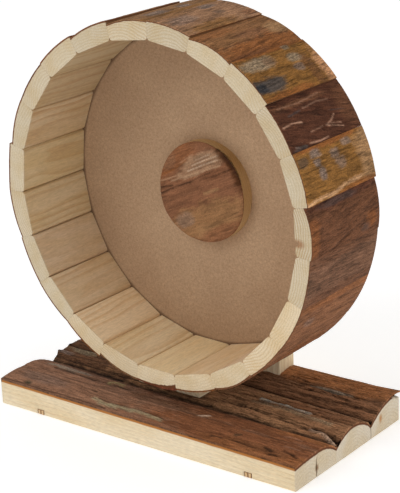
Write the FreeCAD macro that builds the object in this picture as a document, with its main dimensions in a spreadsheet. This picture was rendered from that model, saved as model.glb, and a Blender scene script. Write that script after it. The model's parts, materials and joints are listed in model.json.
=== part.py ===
import FreeCAD, Part
import math
import os
import Sketcher
from types import SimpleNamespace

# Rodent exercise wheel: a drum of bark-edged pine staves round a fibreboard back, turning on two
# ball bearings round a bolt in an upright board that stands on a base of bark-edged half logs.
# Millimetres, +Z up. The origin is the middle of the base's underside. The wheel turns about Y,
# and its open side faces -Y.

doc = FreeCAD.newDocument("exercise_wheel")

SIZES = [
    # wheel drum
    ("stave_count", 23),
    ("seam_radius", 145.0),
    ("stave_thickness", 12.7),
    ("stave_round", 2.4),
    ("bark_thickness", 1.3),
    ("first_stave_angle", -6.3),
    ("panel_thickness", 5.0),
    ("panel_depth", 73.1),
    ("rear_recess", 12.3),
    ("croze_depth", 3.5),
    ("croze_slack", 0.2),
    # hub
    ("hub_disc_radius", 41.0),
    ("hub_disc_thickness", 12.8),
    ("hub_log_radius", 260.0),
    ("hub_grain_angle", 20.0),
    ("hub_block_radius", 34.0),
    ("hub_block_chamfer", 3.0),
    ("head_room_radius", 11.5),
    ("head_room_depth", 6.5),
    ("hub_screw_count", 3),
    ("hub_screw_circle", 24.0),
    ("hub_screw_length", 29.0),
    # ball bearings
    ("bearing_bore", 8.0),
    ("bearing_outside", 22.0),
    ("bearing_width", 7.0),
    ("bearing_fit", 0.02),
    ("ball_count", 7),
    ("ball_diameter", 3.97),
    ("ball_pitch", 15.5),
    ("ball_play", 0.06),
    ("race_shoulder", 0.34),
    ("shield_thickness", 0.4),
    ("shield_inset", 0.5),
    ("shield_gap", 0.3),
    ("cage_thickness", 1.0),
    ("cage_width", 4.6),
    ("bearing_lip", 1.5),
    # axle
    ("bolt_diameter", 7.9),
    ("bolt_head_flats", 13.0),
    ("bolt_head_height", 5.3),
    ("bolt_past_nut", 0.8),
    ("washer_outside", 16.0),
    ("washer_bore", 8.4),
    ("washer_thickness", 1.6),
    ("rear_washer_count", 2),
    ("nut_height", 8.0),
    ("nut_fit", 0.02),
    ("nut_recess_radius", 12.0),
    ("nut_recess_depth", 12.0),
    # stand
    ("base_length", 293.6),
    ("base_depth", 146.8),
    ("planing", 1.0),
    ("upright_width", 92.4),
    ("upright_thickness", 20.4),
    ("upright_above_axle", 46.0),
    ("upright_round", 16.0),
    ("upright_gap", 7.6),
    ("upright_seat", 22.0),
    ("upright_screw_spacing", 30.0),
    ("upright_screw_length", 60.0),
    ("foot_width", 62.4),
    ("foot_thickness", 10.0),
    ("foot_setback", 2.4),
    ("foot_seat", 21.5),
    ("foot_screw_margin", 14.0),
    ("foot_screw_length", 25.0),
    ("wheel_clearance", 6.8),
    ("seat_slack", 0.2),
    ("key_width", 3.1),
    ("key_height", 4.0),
    ("key_slack", 0.2),
    ("key_inset", 42.9),
    # wood screws
    ("screw_diameter", 4.0),
    ("screw_head", 8.0),
    ("screw_tip", 4.0),
    ("screw_fit", 0.02),
    # base strips: widths and heights at the left and right ends, from the front of the base
    ("front_strip_width", 28.5),
    ("second_strip_left", 34.5),
    ("second_strip_right", 26.5),
    ("back_strip_left", 39.8),
    ("back_strip_right", 41.8),
    ("front_edge_left", 22.1),
    ("front_edge_right", 19.7),
    ("front_crest_left", 23.5),
    ("front_crest_right", 21.1),
    ("first_joint_left", 23.4),
    ("first_joint_right", 21.6),
    ("second_crest_left", 22.4),
    ("second_crest_right", 20.4),
    ("second_joint_left", 14.1),
    ("second_joint_right", 13.5),
    ("third_crest_left", 21.4),
    ("third_crest_right", 22.8),
    ("third_joint_left", 19.0),
    ("third_joint_right", 12.6),
    ("back_crest_left", 23.2),
    ("back_crest_right", 23.6),
    ("back_edge_left", 24.4),
    ("back_edge_right", 24.4),
]

# Each stave keeps the round of the log it was sawn from. Clockwise from the top of the wheel: how far the
# outer face falls short of the seam circle at its first edge, rises past it in the middle, and falls short
# of it at its last edge.
STAVE_WANE = [
    (2.2, 0.3, 0.0), (-0.8, 0.6, 0.5), (2.6, 0.5, 0.6), (-1.2, 1.6, -1.2), (1.1, -0.6, 1.1), (0.8, 0.0, 0.8),
    (4.2, -0.1, 0.0), (1.1, -0.4, -0.3), (-0.3, 0.6, -0.3), (0.1, 0.2, 0.1), (1.1, 0.8, 1.6), (0.8, -0.6, 1.8),
    (5.0, -1.8, 0.6), (0.4, -0.2, 2.2), (-0.4, 0.0, 1.6), (1.8, -0.2, -0.4), (-0.2, 0.0, 0.4), (1.4, 0.8, -1.6),
    (-1.8, 1.0, -1.6), (1.2, 0.4, -0.6), (-0.4, 0.6, -0.4), (-1.0, 1.2, -0.8), (1.4, 0.6, -0.9),
]
for number, (first_wane, crown, last_wane) in enumerate(STAVE_WANE, 1):
    SIZES += [(f"first_wane_{number:02d}", first_wane), (f"crown_{number:02d}", crown)]
    SIZES += [(f"last_wane_{number:02d}", last_wane)]


class Size:
    """A length that carries both its value and the sheet expression that gives it."""

    def __init__(self, value, text):
        self.value = value
        self.text = text

    def joined(self, other, symbol, work):
        other = as_size(other)
        return Size(work(self.value, other.value), f"({self.text} {symbol} {other.text})")

    def __add__(self, other):
        return self.joined(other, "+", lambda a, b: a + b)

    def __sub__(self, other):
        return self.joined(other, "-", lambda a, b: a - b)

    def __mul__(self, other):
        return self.joined(other, "*", lambda a, b: a * b)

    def __truediv__(self, other):
        return self.joined(other, "/", lambda a, b: a / b)

    def __neg__(self):
        return self * -1


def as_size(number):
    return number if isinstance(number, Size) else Size(float(number), f"({number:g})")


def sine(degrees):
    return Size(math.sin(math.radians(degrees.value)), f"sin({degrees.text})")


def cosine(degrees):
    return Size(math.cos(math.radians(degrees.value)), f"cos({degrees.text})")


def root(size):
    return Size(math.sqrt(size.value), f"sqrt({size.text})")


def write_sheet():
    sheet = doc.addObject("Spreadsheet::Sheet", "Sizes")
    cells = {}
    for row, (alias, number) in enumerate(SIZES, 1):
        sheet.set(f"A{row}", alias)
        sheet.set(f"B{row}", str(number))
        sheet.setAlias(f"B{row}", alias)
        cells[alias] = Size(float(number), f"Sizes.{alias}")
    doc.recompute()
    return SimpleNamespace(**cells)


dim = write_sheet()
ZERO = as_size(0)
ACROSS = FreeCAD.Rotation(FreeCAD.Vector(1, 0, 0), -90)
UPWARD = FreeCAD.Rotation()
DOWNWARD = FreeCAD.Rotation(FreeCAD.Vector(1, 0, 0), 180)

# Where things stand, worked out from the sizes
base_front = dim.base_depth / -2
base_back = dim.base_depth / 2
upright_front = base_back - dim.upright_thickness
wheel_rear = upright_front - dim.upright_gap
stave_length = dim.panel_depth + dim.panel_thickness + dim.rear_recess
wheel_front = wheel_rear - stave_length
panel_front = wheel_front + dim.panel_depth
panel_rear = panel_front + dim.panel_thickness
rear_washers = dim.washer_thickness * dim.rear_washer_count
hub_block_length = upright_front - rear_washers - panel_rear
hub_front = panel_front - dim.hub_disc_thickness
foot_top = dim.foot_seat + dim.foot_thickness
axle_height = foot_top + dim.wheel_clearance + dim.seam_radius
half_stave = Size(180.0, "180") / dim.stave_count
inner_seam = dim.seam_radius - dim.stave_thickness
inner_flat = inner_seam * cosine(half_stave)
croze_radius = inner_flat + dim.croze_depth
rear_bearing = panel_rear + hub_block_length - dim.bearing_width


def bind(thing, **sizes):
    for name, size in sizes.items():
        thing.setExpression(name, size.text)


def place(thing, x, y, z, rotation=UPWARD):
    thing.Placement = FreeCAD.Placement(FreeCAD.Vector(x.value, y.value, z.value), rotation)
    for axis, size in zip("xyz", (x, y, z)):
        thing.setExpression(f"Placement.Base.{axis}", size.text)


def box(name, low, high):
    """A block between two corners."""
    block = doc.addObject("Part::Box", name)
    bind(block, Length=high[0] - low[0], Width=high[1] - low[1], Height=high[2] - low[2])
    place(block, *low)
    return block


def rod(name, radius, start, length):
    """A round bar along the wheel's axis, from the depth start."""
    bar = doc.addObject("Part::Cylinder", name)
    bind(bar, Radius=radius, Height=length)
    place(bar, ZERO, start, axle_height, ACROSS)
    return bar


def hexagon(name, flats, start, length):
    """A six-sided bar along the wheel's axis."""
    bar = doc.addObject("Part::Prism", name)
    bar.Polygon = 6
    bind(bar, Circumradius=flats / math.sqrt(3), Height=length)
    place(bar, ZERO, start, axle_height, ACROSS)
    return bar


def joined(kind, name, first, second):
    result = doc.addObject(kind, name)
    result.Base = first
    result.Tool = second
    return result


def cut(name, blank, *tools):
    """The blank with each tool taken out of it. The last result has the piece's name."""
    for number, tool in enumerate(tools, 1):
        step = name if number == len(tools) else f"{name}_cut_{number}"
        blank = joined("Part::Cut", step, blank, tool)
    return blank


def washer(name, outside, bore, start, thickness):
    """A flat ring on the wheel's axis."""
    return cut(name, rod(f"{name}_blank", outside / 2, start, thickness),
               rod(f"{name}_bore", bore / 2, start - 1, thickness + 2))


def own_plane(body, role):
    return next(plane for plane in body.Origin.OriginFeatures if plane.Role == role)


def pin_point(sketch, geometry, point, x, y):
    """Holds a point of a sketch at x, y from the sketch's origin, with both bound to the sheet."""
    for kind, size, axis in (("DistanceX", x, -2), ("DistanceY", y, -1)):
        if abs(size.value) < 1e-9:
            sketch.addConstraint(Sketcher.Constraint("PointOnObject", geometry, point, axis))
            continue
        ends = (-1, 1, geometry, point) if size.value > 0 else (geometry, point, -1, 1)
        index = sketch.addConstraint(Sketcher.Constraint(kind, *ends, abs(size.value)))
        sketch.setExpression(f"Constraints[{index}]", (size if size.value > 0 else -size).text)


def draw_outline(sketch, corners, bows=None):
    """A closed outline of straight edges. bows gives the middle point of each edge that is an arc."""
    bows = bows or {}
    points = [FreeCAD.Vector(x.value, y.value, 0) for x, y in corners]
    ends = []
    for index, start in enumerate(points):
        finish = points[(index + 1) % len(points)]
        if index in bows:
            middle = FreeCAD.Vector(bows[index][0].value, bows[index][1].value, 0)
            anticlockwise = (middle - start).cross(finish - start).z > 0
            arc = Part.Arc(start, middle, finish) if anticlockwise else Part.Arc(finish, middle, start)
            edge = sketch.addGeometry(arc, False)
            ends.append((edge, 1, 2) if anticlockwise else (edge, 2, 1))
        else:
            edge = sketch.addGeometry(Part.LineSegment(start, finish), False)
            ends.append((edge, 1, 2))
    for (edge, _, last), (following, first, _) in zip(ends, ends[1:] + ends[:1]):
        sketch.addConstraint(Sketcher.Constraint("Coincident", edge, last, following, first))
    for (edge, first, _), (x, y) in zip(ends, corners):
        pin_point(sketch, edge, first, x, y)
    for index, (x, y) in bows.items():
        mark = sketch.addGeometry(Part.Point(FreeCAD.Vector(x.value, y.value, 0)), True)
        sketch.addConstraint(Sketcher.Constraint("PointOnObject", mark, 1, ends[index][0]))
        pin_point(sketch, mark, 1, x, y)


def new_sketch(body, name, role, offset=None):
    sketch = body.newObject("Sketcher::SketchObject", name)
    sketch.AttachmentSupport = [(own_plane(body, role), "")]
    sketch.MapMode = "FlatFace"
    if offset is not None:
        sketch.AttachmentOffset = FreeCAD.Placement(FreeCAD.Vector(0, 0, offset.value), UPWARD)
        sketch.setExpression("AttachmentOffset.Base.z", offset.text)
    return sketch


def pad_along_y(name, corners, length, bows=None):
    """A body whose outline in X and Z is drawn out along +Y from its own origin."""
    body = doc.addObject("PartDesign::Body", name)
    sketch = new_sketch(body, f"{name}_outline", "XZ_Plane")
    draw_outline(sketch, corners, bows)
    pad = body.newObject("PartDesign::Pad", f"{name}_pad")
    pad.Profile = sketch
    pad.Reversed = True
    bind(pad, Length=length)
    doc.recompute()
    return body, pad


def round_long_edges(body, feature, name, places, radius):
    """Rounds the edges along Y that stand at the given X and Z."""
    chosen = []
    for number, edge in enumerate(feature.Shape.Edges, 1):
        for x, z in places:
            gaps = [abs(v.X - x.value) + abs(v.Z - z.value) for v in edge.Vertexes]
            if max(gaps) < 1e-4:
                chosen.append(f"Edge{number}")
    rounding = body.newObject("PartDesign::Fillet", name)
    rounding.Base = (feature, chosen)
    bind(rounding, Radius=radius)
    return rounding


def turned(name, corners, start, bows=None):
    """A body turned about the wheel's axis: corners are radius and depth past start."""
    body = doc.addObject("PartDesign::Body", name)
    sketch = new_sketch(body, f"{name}_outline", "XY_Plane")
    draw_outline(sketch, corners, bows)
    turn = body.newObject("PartDesign::Revolution", f"{name}_turn")
    turn.Profile = sketch
    turn.ReferenceAxis = (sketch, ["V_Axis"])
    turn.Angle = 360.0
    place(body, ZERO, start, axle_height)
    return body


def wood_screw(length, fit):
    """A countersunk wood screw about Z, its flat head at z = 0 and its point downwards."""
    shank = dim.screw_diameter.value / 2 + fit
    head = dim.screw_head.value / 2 + fit
    cone = head - shank
    tip = length - dim.screw_tip.value
    profile = [(0, 0), (head, 0), (shank, -cone), (shank, -tip), (0, -length - fit)]
    corners = [FreeCAD.Vector(x, 0, z) for x, z in profile]
    face = Part.Face(Part.makePolygon(corners + corners[:1]))
    return face.revolve(FreeCAD.Vector(0, 0, 0), FreeCAD.Vector(0, 0, 1), 360)


def screws(name, length, places, rotation):
    """A group of screws and the group of holes that they fit, as two features."""
    groups = []
    for label, fit in ((name, 0.0), (f"{name}_holes", dim.screw_fit.value)):
        solids = []
        for x, y, z in places:
            screw = wood_screw(length.value, fit)
            screw.Placement = FreeCAD.Placement(FreeCAD.Vector(x.value, y.value, z.value), rotation)
            solids.append(screw)
        group = doc.addObject("Part::Feature", label)
        group.Shape = Part.makeCompound(solids)
        groups.append(group)
    return groups


# Wheel drum

def stave(number):
    """One stave: sawn flat inside with eased edges, round with bark outside, and grooved for the back panel."""
    name = f"stave_{number:02d}"
    wane = (number - 1) % len(STAVE_WANE) + 1
    skin = dim.seam_radius + dim.bark_thickness
    first = skin - getattr(dim, f"first_wane_{wane:02d}")
    crest = skin + getattr(dim, f"crown_{wane:02d}")
    last = skin - getattr(dim, f"last_wane_{wane:02d}")
    across = sine(half_stave)
    along = cosine(half_stave)
    inner = [(-(inner_seam * across), inner_flat), (inner_seam * across, inner_flat)]
    corners = inner + [(last * across, last * along), (-(first * across), first * along)]
    body, pad = pad_along_y(name, corners, stave_length, {2: (ZERO, crest)})
    round_long_edges(body, pad, f"{name}_eased", inner, dim.stave_round)
    doc.recompute()
    sketch = new_sketch(body, f"{name}_croze_outline", "YZ_Plane")
    front = dim.panel_depth - dim.croze_slack / 2
    rear = dim.panel_depth + dim.panel_thickness + dim.croze_slack / 2
    floor = inner_flat - dim.croze_depth
    draw_outline(sketch, [(front, floor), (rear, floor), (rear, croze_radius), (front, croze_radius)])
    croze = body.newObject("PartDesign::Groove", f"{name}_croze")
    croze.Profile = sketch
    croze.ReferenceAxis = (sketch, ["H_Axis"])
    croze.Angle = 360.0
    turn = dim.first_stave_angle + half_stave * 2 * (number - 1)
    place(body, ZERO, wheel_front, axle_height, FreeCAD.Rotation(FreeCAD.Vector(0, 1, 0), turn.value))
    return body


def hub_screw_places():
    places = []
    for number in range(int(dim.hub_screw_count.value)):
        angle = Size(360.0 * number, f"{360 * number}") / dim.hub_screw_count + 90
        x = dim.hub_screw_circle * cosine(angle)
        z = axle_height + dim.hub_screw_circle * sine(angle)
        places.append((x, panel_rear + hub_block_length, z))
    return places


staves = [stave(number) for number in range(1, int(dim.stave_count.value) + 1)]
hub_screws, hub_screw_holes = screws("hub_screws", dim.hub_screw_length, hub_screw_places(), ACROSS)

back_panel = cut(
    "back_panel",
    rod("panel_blank", croze_radius - dim.croze_slack, panel_front, dim.panel_thickness),
    rod("panel_head_room", dim.head_room_radius, panel_front - 1, dim.panel_thickness + 2),
    hub_screw_holes)


def hub_disc():
    """A slice of bark-faced log: its face is round across the grain, which runs up to the right."""
    log = doc.addObject("Part::Cylinder", "hub_log")
    reach = dim.hub_disc_radius * 4
    bind(log, Radius=dim.hub_log_radius, Height=reach)
    slope = dim.hub_grain_angle
    grain = FreeCAD.Vector(math.cos(math.radians(slope.value)), 0, math.sin(math.radians(slope.value)))
    place(log, reach / -2 * cosine(slope), hub_front + dim.hub_log_radius,
          axle_height - reach / 2 * sine(slope), FreeCAD.Rotation(FreeCAD.Vector(0, 0, 1), grain))
    slice_blank = rod("hub_slice", dim.hub_disc_radius, hub_front, dim.hub_disc_thickness)
    blank = joined("Part::Common", "hub_disc_blank", slice_blank, log)
    room = rod("hub_head_room", dim.head_room_radius, panel_front - dim.head_room_depth, dim.head_room_depth + 1)
    return cut("hub_disc", blank, room, hub_screw_holes)


def hub_block():
    """The turned wooden boss behind the panel, bored from both ends for a bearing, with a lip between."""
    seat = dim.bearing_outside / 2 + dim.bearing_fit
    lip = dim.bearing_outside / 2 - dim.bearing_lip
    end = hub_block_length
    corners = [
        (seat, ZERO), (dim.hub_block_radius, ZERO), (dim.hub_block_radius, end - dim.hub_block_chamfer),
        (dim.hub_block_radius - dim.hub_block_chamfer, end), (seat, end), (seat, end - dim.bearing_width),
        (lip, end - dim.bearing_width), (lip, dim.bearing_width), (seat, dim.bearing_width)]
    return cut("hub_block", turned("hub_block_blank", corners, panel_rear), hub_screw_holes)


# Ball bearings

def ball_group(name, start):
    """The ring of balls in the middle of a bearing that starts at the given depth, and their cage's pockets."""
    middle = FreeCAD.Vector(0, start.value + dim.bearing_width.value / 2, axle_height.value)
    ball_radius = dim.ball_diameter.value / 2
    balls = []
    pockets = []
    for number in range(int(dim.ball_count.value)):
        angle = 2 * math.pi * number / dim.ball_count.value
        outward = FreeCAD.Vector(math.cos(angle), 0, math.sin(angle))
        balls.append(Part.makeSphere(ball_radius, middle + outward * (dim.ball_pitch.value / 2)))
        pockets.append(Part.makeCylinder(ball_radius + dim.ball_play.value, dim.ball_pitch.value, middle, outward))
    groups = []
    for label, solids in ((f"{name}_balls", balls), (f"{name}_cage_pockets", pockets)):
        group = doc.addObject("Part::Feature", label)
        group.Shape = Part.makeCompound(solids)
        groups.append(group)
    return groups


def ball_bearing(name, start):
    """A shielded ball bearing: two races with a ball track, balls in a cage, and a shield at each face."""
    width = dim.bearing_width
    middle = width / 2
    pitch = dim.ball_pitch / 2
    track = dim.ball_diameter / 2 + dim.ball_play
    rise = track - dim.race_shoulder
    half_track = root(track * track - rise * rise)
    outer_bore = pitch + rise
    inner_edge = pitch - rise
    outside = dim.bearing_outside / 2
    bore = dim.bearing_bore / 2
    outer = turned(f"{name}_outer_race", [
        (outer_bore, ZERO), (outside, ZERO), (outside, width), (outer_bore, width),
        (outer_bore, middle + half_track), (outer_bore, middle - half_track)],
        start, {4: (pitch + track, middle)})
    inner = turned(f"{name}_inner_race", [
        (bore, ZERO), (inner_edge, ZERO), (inner_edge, middle - half_track),
        (inner_edge, middle + half_track), (inner_edge, width), (bore, width)],
        start, {2: (pitch - track, middle)})
    balls, cage_pockets = ball_group(name, start)
    cage_ring = washer(f"{name}_cage_ring", dim.ball_pitch + dim.cage_thickness,
                       dim.ball_pitch - dim.cage_thickness, start + middle - dim.cage_width / 2, dim.cage_width)
    cage = cut(f"{name}_cage", cage_ring, cage_pockets)
    shield_starts = (start + dim.shield_inset, start + width - dim.shield_inset - dim.shield_thickness)
    shields = doc.addObject("Part::Compound", f"{name}_shields")
    shields.Links = [
        washer(f"{name}_shield_{side}", (outer_bore - dim.bearing_fit) * 2, (inner_edge + dim.shield_gap) * 2,
               depth, dim.shield_thickness)
        for side, depth in zip(("front", "rear"), shield_starts)]
    return [outer, inner, balls, cage, shields]


bearings = ball_bearing("front_bearing", panel_rear) + ball_bearing("rear_bearing", rear_bearing)


# Axle, from the bolt's head under the hub disc to the nut sunk in the upright's back

nut_floor = base_back - dim.nut_recess_depth
nut_start = nut_floor + dim.washer_thickness
head_seat = panel_rear - dim.washer_thickness
bolt_end = nut_start + dim.nut_height + dim.bolt_past_nut

axle_bolt = joined(
    "Part::Fuse", "axle_bolt",
    hexagon("bolt_head", dim.bolt_head_flats, head_seat - dim.bolt_head_height, dim.bolt_head_height),
    rod("bolt_shank", dim.bolt_diameter / 2, head_seat - 1, bolt_end - head_seat + 1))
front_washer = washer("axle_front_washer", dim.washer_outside, dim.washer_bore, head_seat, dim.washer_thickness)
race_spacer = washer("bearing_spacer", dim.ball_pitch - dim.ball_diameter, dim.washer_bore,
                     panel_rear + dim.bearing_width, hub_block_length - dim.bearing_width * 2)
rear_washer_stack = doc.addObject("Part::Compound", "axle_rear_washers")
rear_washer_stack.Links = [
    washer(f"rear_washer_{number}", dim.washer_outside, dim.washer_bore,
           upright_front - dim.washer_thickness * (number + 1), dim.washer_thickness)
    for number in range(int(dim.rear_washer_count.value))]
nut_washer = washer("axle_nut_washer", dim.washer_outside, dim.washer_bore, nut_floor, dim.washer_thickness)
lock_nut = cut("axle_lock_nut", hexagon("nut_blank", dim.bolt_head_flats, nut_start, dim.nut_height),
               rod("nut_bore", dim.bolt_diameter / 2 + dim.nut_fit, nut_start - 1, dim.nut_height + 2))


# Stand

def upright_screw_places():
    depth = upright_front + dim.upright_thickness / 2
    return [(dim.upright_screw_spacing * step, depth, ZERO) for step in (-1, 0, 1)]


foot_left = dim.upright_width / -2
foot_right = foot_left + dim.foot_width
foot_front = base_front + dim.front_strip_width + dim.second_strip_right + dim.foot_setback


def foot_screw_places():
    margin = dim.foot_screw_margin
    return [(x, y, foot_top) for x in (foot_left + margin, foot_right - margin)
            for y in (foot_front + margin, upright_front - margin)]


upright_screws, upright_screw_holes = screws(
    "upright_screws", dim.upright_screw_length, upright_screw_places(), DOWNWARD)
foot_screws, foot_screw_holes = screws("foot_screws", dim.foot_screw_length, foot_screw_places(), UPWARD)


def upright_board():
    """The board that carries the axle: round upper corners, and the nut's recess in its back."""
    half = dim.upright_width / 2
    top = axle_height + dim.upright_above_axle
    corners = [(-half, dim.upright_seat), (half, dim.upright_seat), (half, top), (-half, top)]
    body, pad = pad_along_y("upright_blank", corners, dim.upright_thickness)
    round_long_edges(body, pad, "upright_corners", corners[2:], dim.upright_round)
    place(body, ZERO, upright_front, ZERO)
    hole = rod("upright_bolt_hole", dim.washer_bore / 2, upright_front - 1, dim.upright_thickness + 2)
    recess = rod("upright_nut_recess", dim.nut_recess_radius, nut_floor, dim.nut_recess_depth + 1)
    return cut("upright_board", body, hole, recess, upright_screw_holes)


foot_board = cut("foot_board", box("foot_blank", (foot_left, foot_front, dim.foot_seat),
                                   (foot_right, upright_front, foot_top)), foot_screw_holes)

key_reach = dim.base_length / 2 - dim.key_inset
key_places = [("left", -key_reach), ("right", key_reach)]
key_slot_half = dim.key_width + dim.key_slack


def key_pair(side, middle):
    """Two thin keys, side by side in a groove across the underside, that hold the base strips together."""
    pair = doc.addObject("Part::Compound", f"base_keys_{side}")
    pair.Links = [
        box(f"key_{side}_{number}", (start, base_front, ZERO), (start + dim.key_width, base_back, dim.key_height))
        for number, start in enumerate((middle - dim.key_width - dim.key_slack / 2, middle + dim.key_slack / 2))]
    return pair


base_keys = [key_pair(side, middle) for side, middle in key_places]
key_grooves = doc.addObject("Part::Compound", "key_grooves")
key_grooves.Links = [
    box(f"key_groove_{side}", (middle - key_slot_half, base_front - 1, ZERO - 1),
        (middle + key_slot_half, base_back + 1, dim.key_height + dim.key_slack))
    for side, middle in key_places]
underside_cut = box("underside_cut", (dim.base_length / -2 - 1, base_front - 1, dim.planing * -2),
                    (dim.base_length / 2 + 1, base_back + 1, ZERO))
seat_reach = dim.foot_seat + dim.base_depth
upright_seat_cut = box("upright_seat_cut",
                       (dim.upright_width / -2 - dim.seat_slack, upright_front - dim.seat_slack, dim.upright_seat),
                       (dim.upright_width / 2 + dim.seat_slack, base_back + 1, seat_reach))
foot_seat_cut = box("foot_seat_cut", (foot_left - dim.seat_slack, foot_front - dim.seat_slack, dim.foot_seat),
                    (foot_right + dim.seat_slack, upright_front, seat_reach))


def strip_end(side):
    """Depths of the strips' edges and of their crests at one end of the base, with the heights there."""
    def height(name):
        return getattr(dim, f"{name}_{side}")

    joint_1 = base_front + dim.front_strip_width
    joint_2 = joint_1 + height("second_strip")
    joint_3 = base_back - height("back_strip")
    depths = [base_front, joint_1, joint_2, joint_3, base_back]
    edges = [height(name) for name in ("front_edge", "first_joint", "second_joint", "third_joint", "back_edge")]
    crests = [height(name) for name in ("front_crest", "second_crest", "third_crest", "back_crest")]
    return depths, edges, crests


def base_strip(name, index, *tools):
    """A half log laid bark up and planed flat below: its round section changes from end to end of the base."""
    body = doc.addObject("PartDesign::Body", f"{name}_blank")
    sketches = []
    for side, offset in (("left", dim.base_length / -2), ("right", dim.base_length / 2)):
        depths, edges, crests = strip_end(side)
        near, far = depths[index:index + 2]
        corners = [(near, -dim.planing), (far, -dim.planing), (far, edges[index + 1]), (near, edges[index])]
        sketch = new_sketch(body, f"{name}_{side}_end", "YZ_Plane", offset)
        draw_outline(sketch, corners, {2: ((near + far) / 2, crests[index])})
        sketches.append(sketch)
    loft = body.newObject("PartDesign::AdditiveLoft", f"{name}_loft")
    loft.Profile = sketches[0]
    loft.Sections = sketches[1:]
    return cut(name, body, underside_cut, key_grooves, *tools)


base_strips = [
    base_strip("base_strip_front", 0),
    base_strip("base_strip_second", 1),
    base_strip("base_strip_third", 2, foot_seat_cut, foot_screw_holes),
    base_strip("base_strip_back", 3, foot_seat_cut, upright_seat_cut, foot_screw_holes, upright_screw_holes),
]

pieces = (
    staves + [back_panel, hub_disc(), hub_block(), hub_screws] + bearings
    + [axle_bolt, front_washer, race_spacer, rear_washer_stack, nut_washer, lock_nut]
    + [upright_board(), upright_screws, foot_board, foot_screws] + base_keys + base_strips)

doc.recompute()
for thing in doc.Objects:
    faults = {"Invalid", "Error"} & set(thing.State)
    if faults:
        raise RuntimeError(f"{thing.Label} failed: {sorted(faults)}")
for piece in pieces:
    if piece.Shape.isNull() or not piece.Shape.isValid() or not piece.Shape.Solids:
        raise RuntimeError(f"{piece.Label} has no sound solid")

os.makedirs("parts", exist_ok=True)
for piece in pieces:
    piece.Shape.exportStep(f"parts/{piece.Label}.step")
    centre = piece.Shape.BoundBox.Center
    print(f"{piece.Label}: {len(piece.Shape.Solids)} solid, {piece.Shape.Volume:.0f} mm3, "
          f"centre {centre.x:.1f} {centre.y:.1f} {centre.z:.1f}")
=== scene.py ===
# %% [markdown]
# # Rodent exercise wheel
# A drum of pine staves, sawn flat inside and still round with bark outside, turns on ball bearings in front
# of an upright board. The board stands on a base of half logs laid bark up. The packed CAD model gives every
# place and size. This lesson gives each piece the surface of the real wood: relief, grain and colour.

# %% Load the packed model
import json
import math

import bmesh
import bpy
import numpy as np
from mathutils import Matrix, Vector


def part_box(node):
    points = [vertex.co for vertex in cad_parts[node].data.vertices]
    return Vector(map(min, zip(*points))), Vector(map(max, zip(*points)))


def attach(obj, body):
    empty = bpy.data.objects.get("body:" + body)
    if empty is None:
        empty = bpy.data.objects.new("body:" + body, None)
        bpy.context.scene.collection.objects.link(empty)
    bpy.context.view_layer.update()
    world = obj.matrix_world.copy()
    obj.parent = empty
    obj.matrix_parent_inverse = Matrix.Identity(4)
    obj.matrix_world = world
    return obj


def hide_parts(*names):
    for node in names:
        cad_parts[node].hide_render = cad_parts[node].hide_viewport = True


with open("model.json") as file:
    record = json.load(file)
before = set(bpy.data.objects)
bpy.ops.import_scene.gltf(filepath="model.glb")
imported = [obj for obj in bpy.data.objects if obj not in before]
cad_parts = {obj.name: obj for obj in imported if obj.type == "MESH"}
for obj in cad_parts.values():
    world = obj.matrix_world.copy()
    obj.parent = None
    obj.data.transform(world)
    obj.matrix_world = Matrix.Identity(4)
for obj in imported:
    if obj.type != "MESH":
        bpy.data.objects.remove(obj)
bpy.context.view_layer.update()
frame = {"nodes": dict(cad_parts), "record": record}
scene = bpy.context.scene
nodes = frame["nodes"]

# %% [markdown]
# ## Sums in a node tree
# Wood and bark are patterns that follow a rule, so most of this file is node trees. Adding each Math node by
# hand hides the rule, so a Field stands for one socket and sums of fields add the nodes. The same two small
# classes serve Geometry Nodes and material nodes, because both have the Math, Noise and Map Range nodes.

# %% A field


class Field:
    """The value of one node socket."""

    def __init__(self, graph, socket):
        self.graph = graph
        self.socket = socket

    def __add__(self, other):
        return self.graph.math("ADD", self, other)

    def __radd__(self, other):
        return self.graph.math("ADD", other, self)

    def __sub__(self, other):
        return self.graph.math("SUBTRACT", self, other)

    def __rsub__(self, other):
        return self.graph.math("SUBTRACT", other, self)

    def __mul__(self, other):
        return self.graph.math("MULTIPLY", self, other)

    def __rmul__(self, other):
        return self.graph.math("MULTIPLY", other, self)

    def __truediv__(self, other):
        return self.graph.math("DIVIDE", self, other)


print("a field can:", [name.strip("_") for name, value in vars(Field).items() if callable(value)])

# %% A graph


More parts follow.
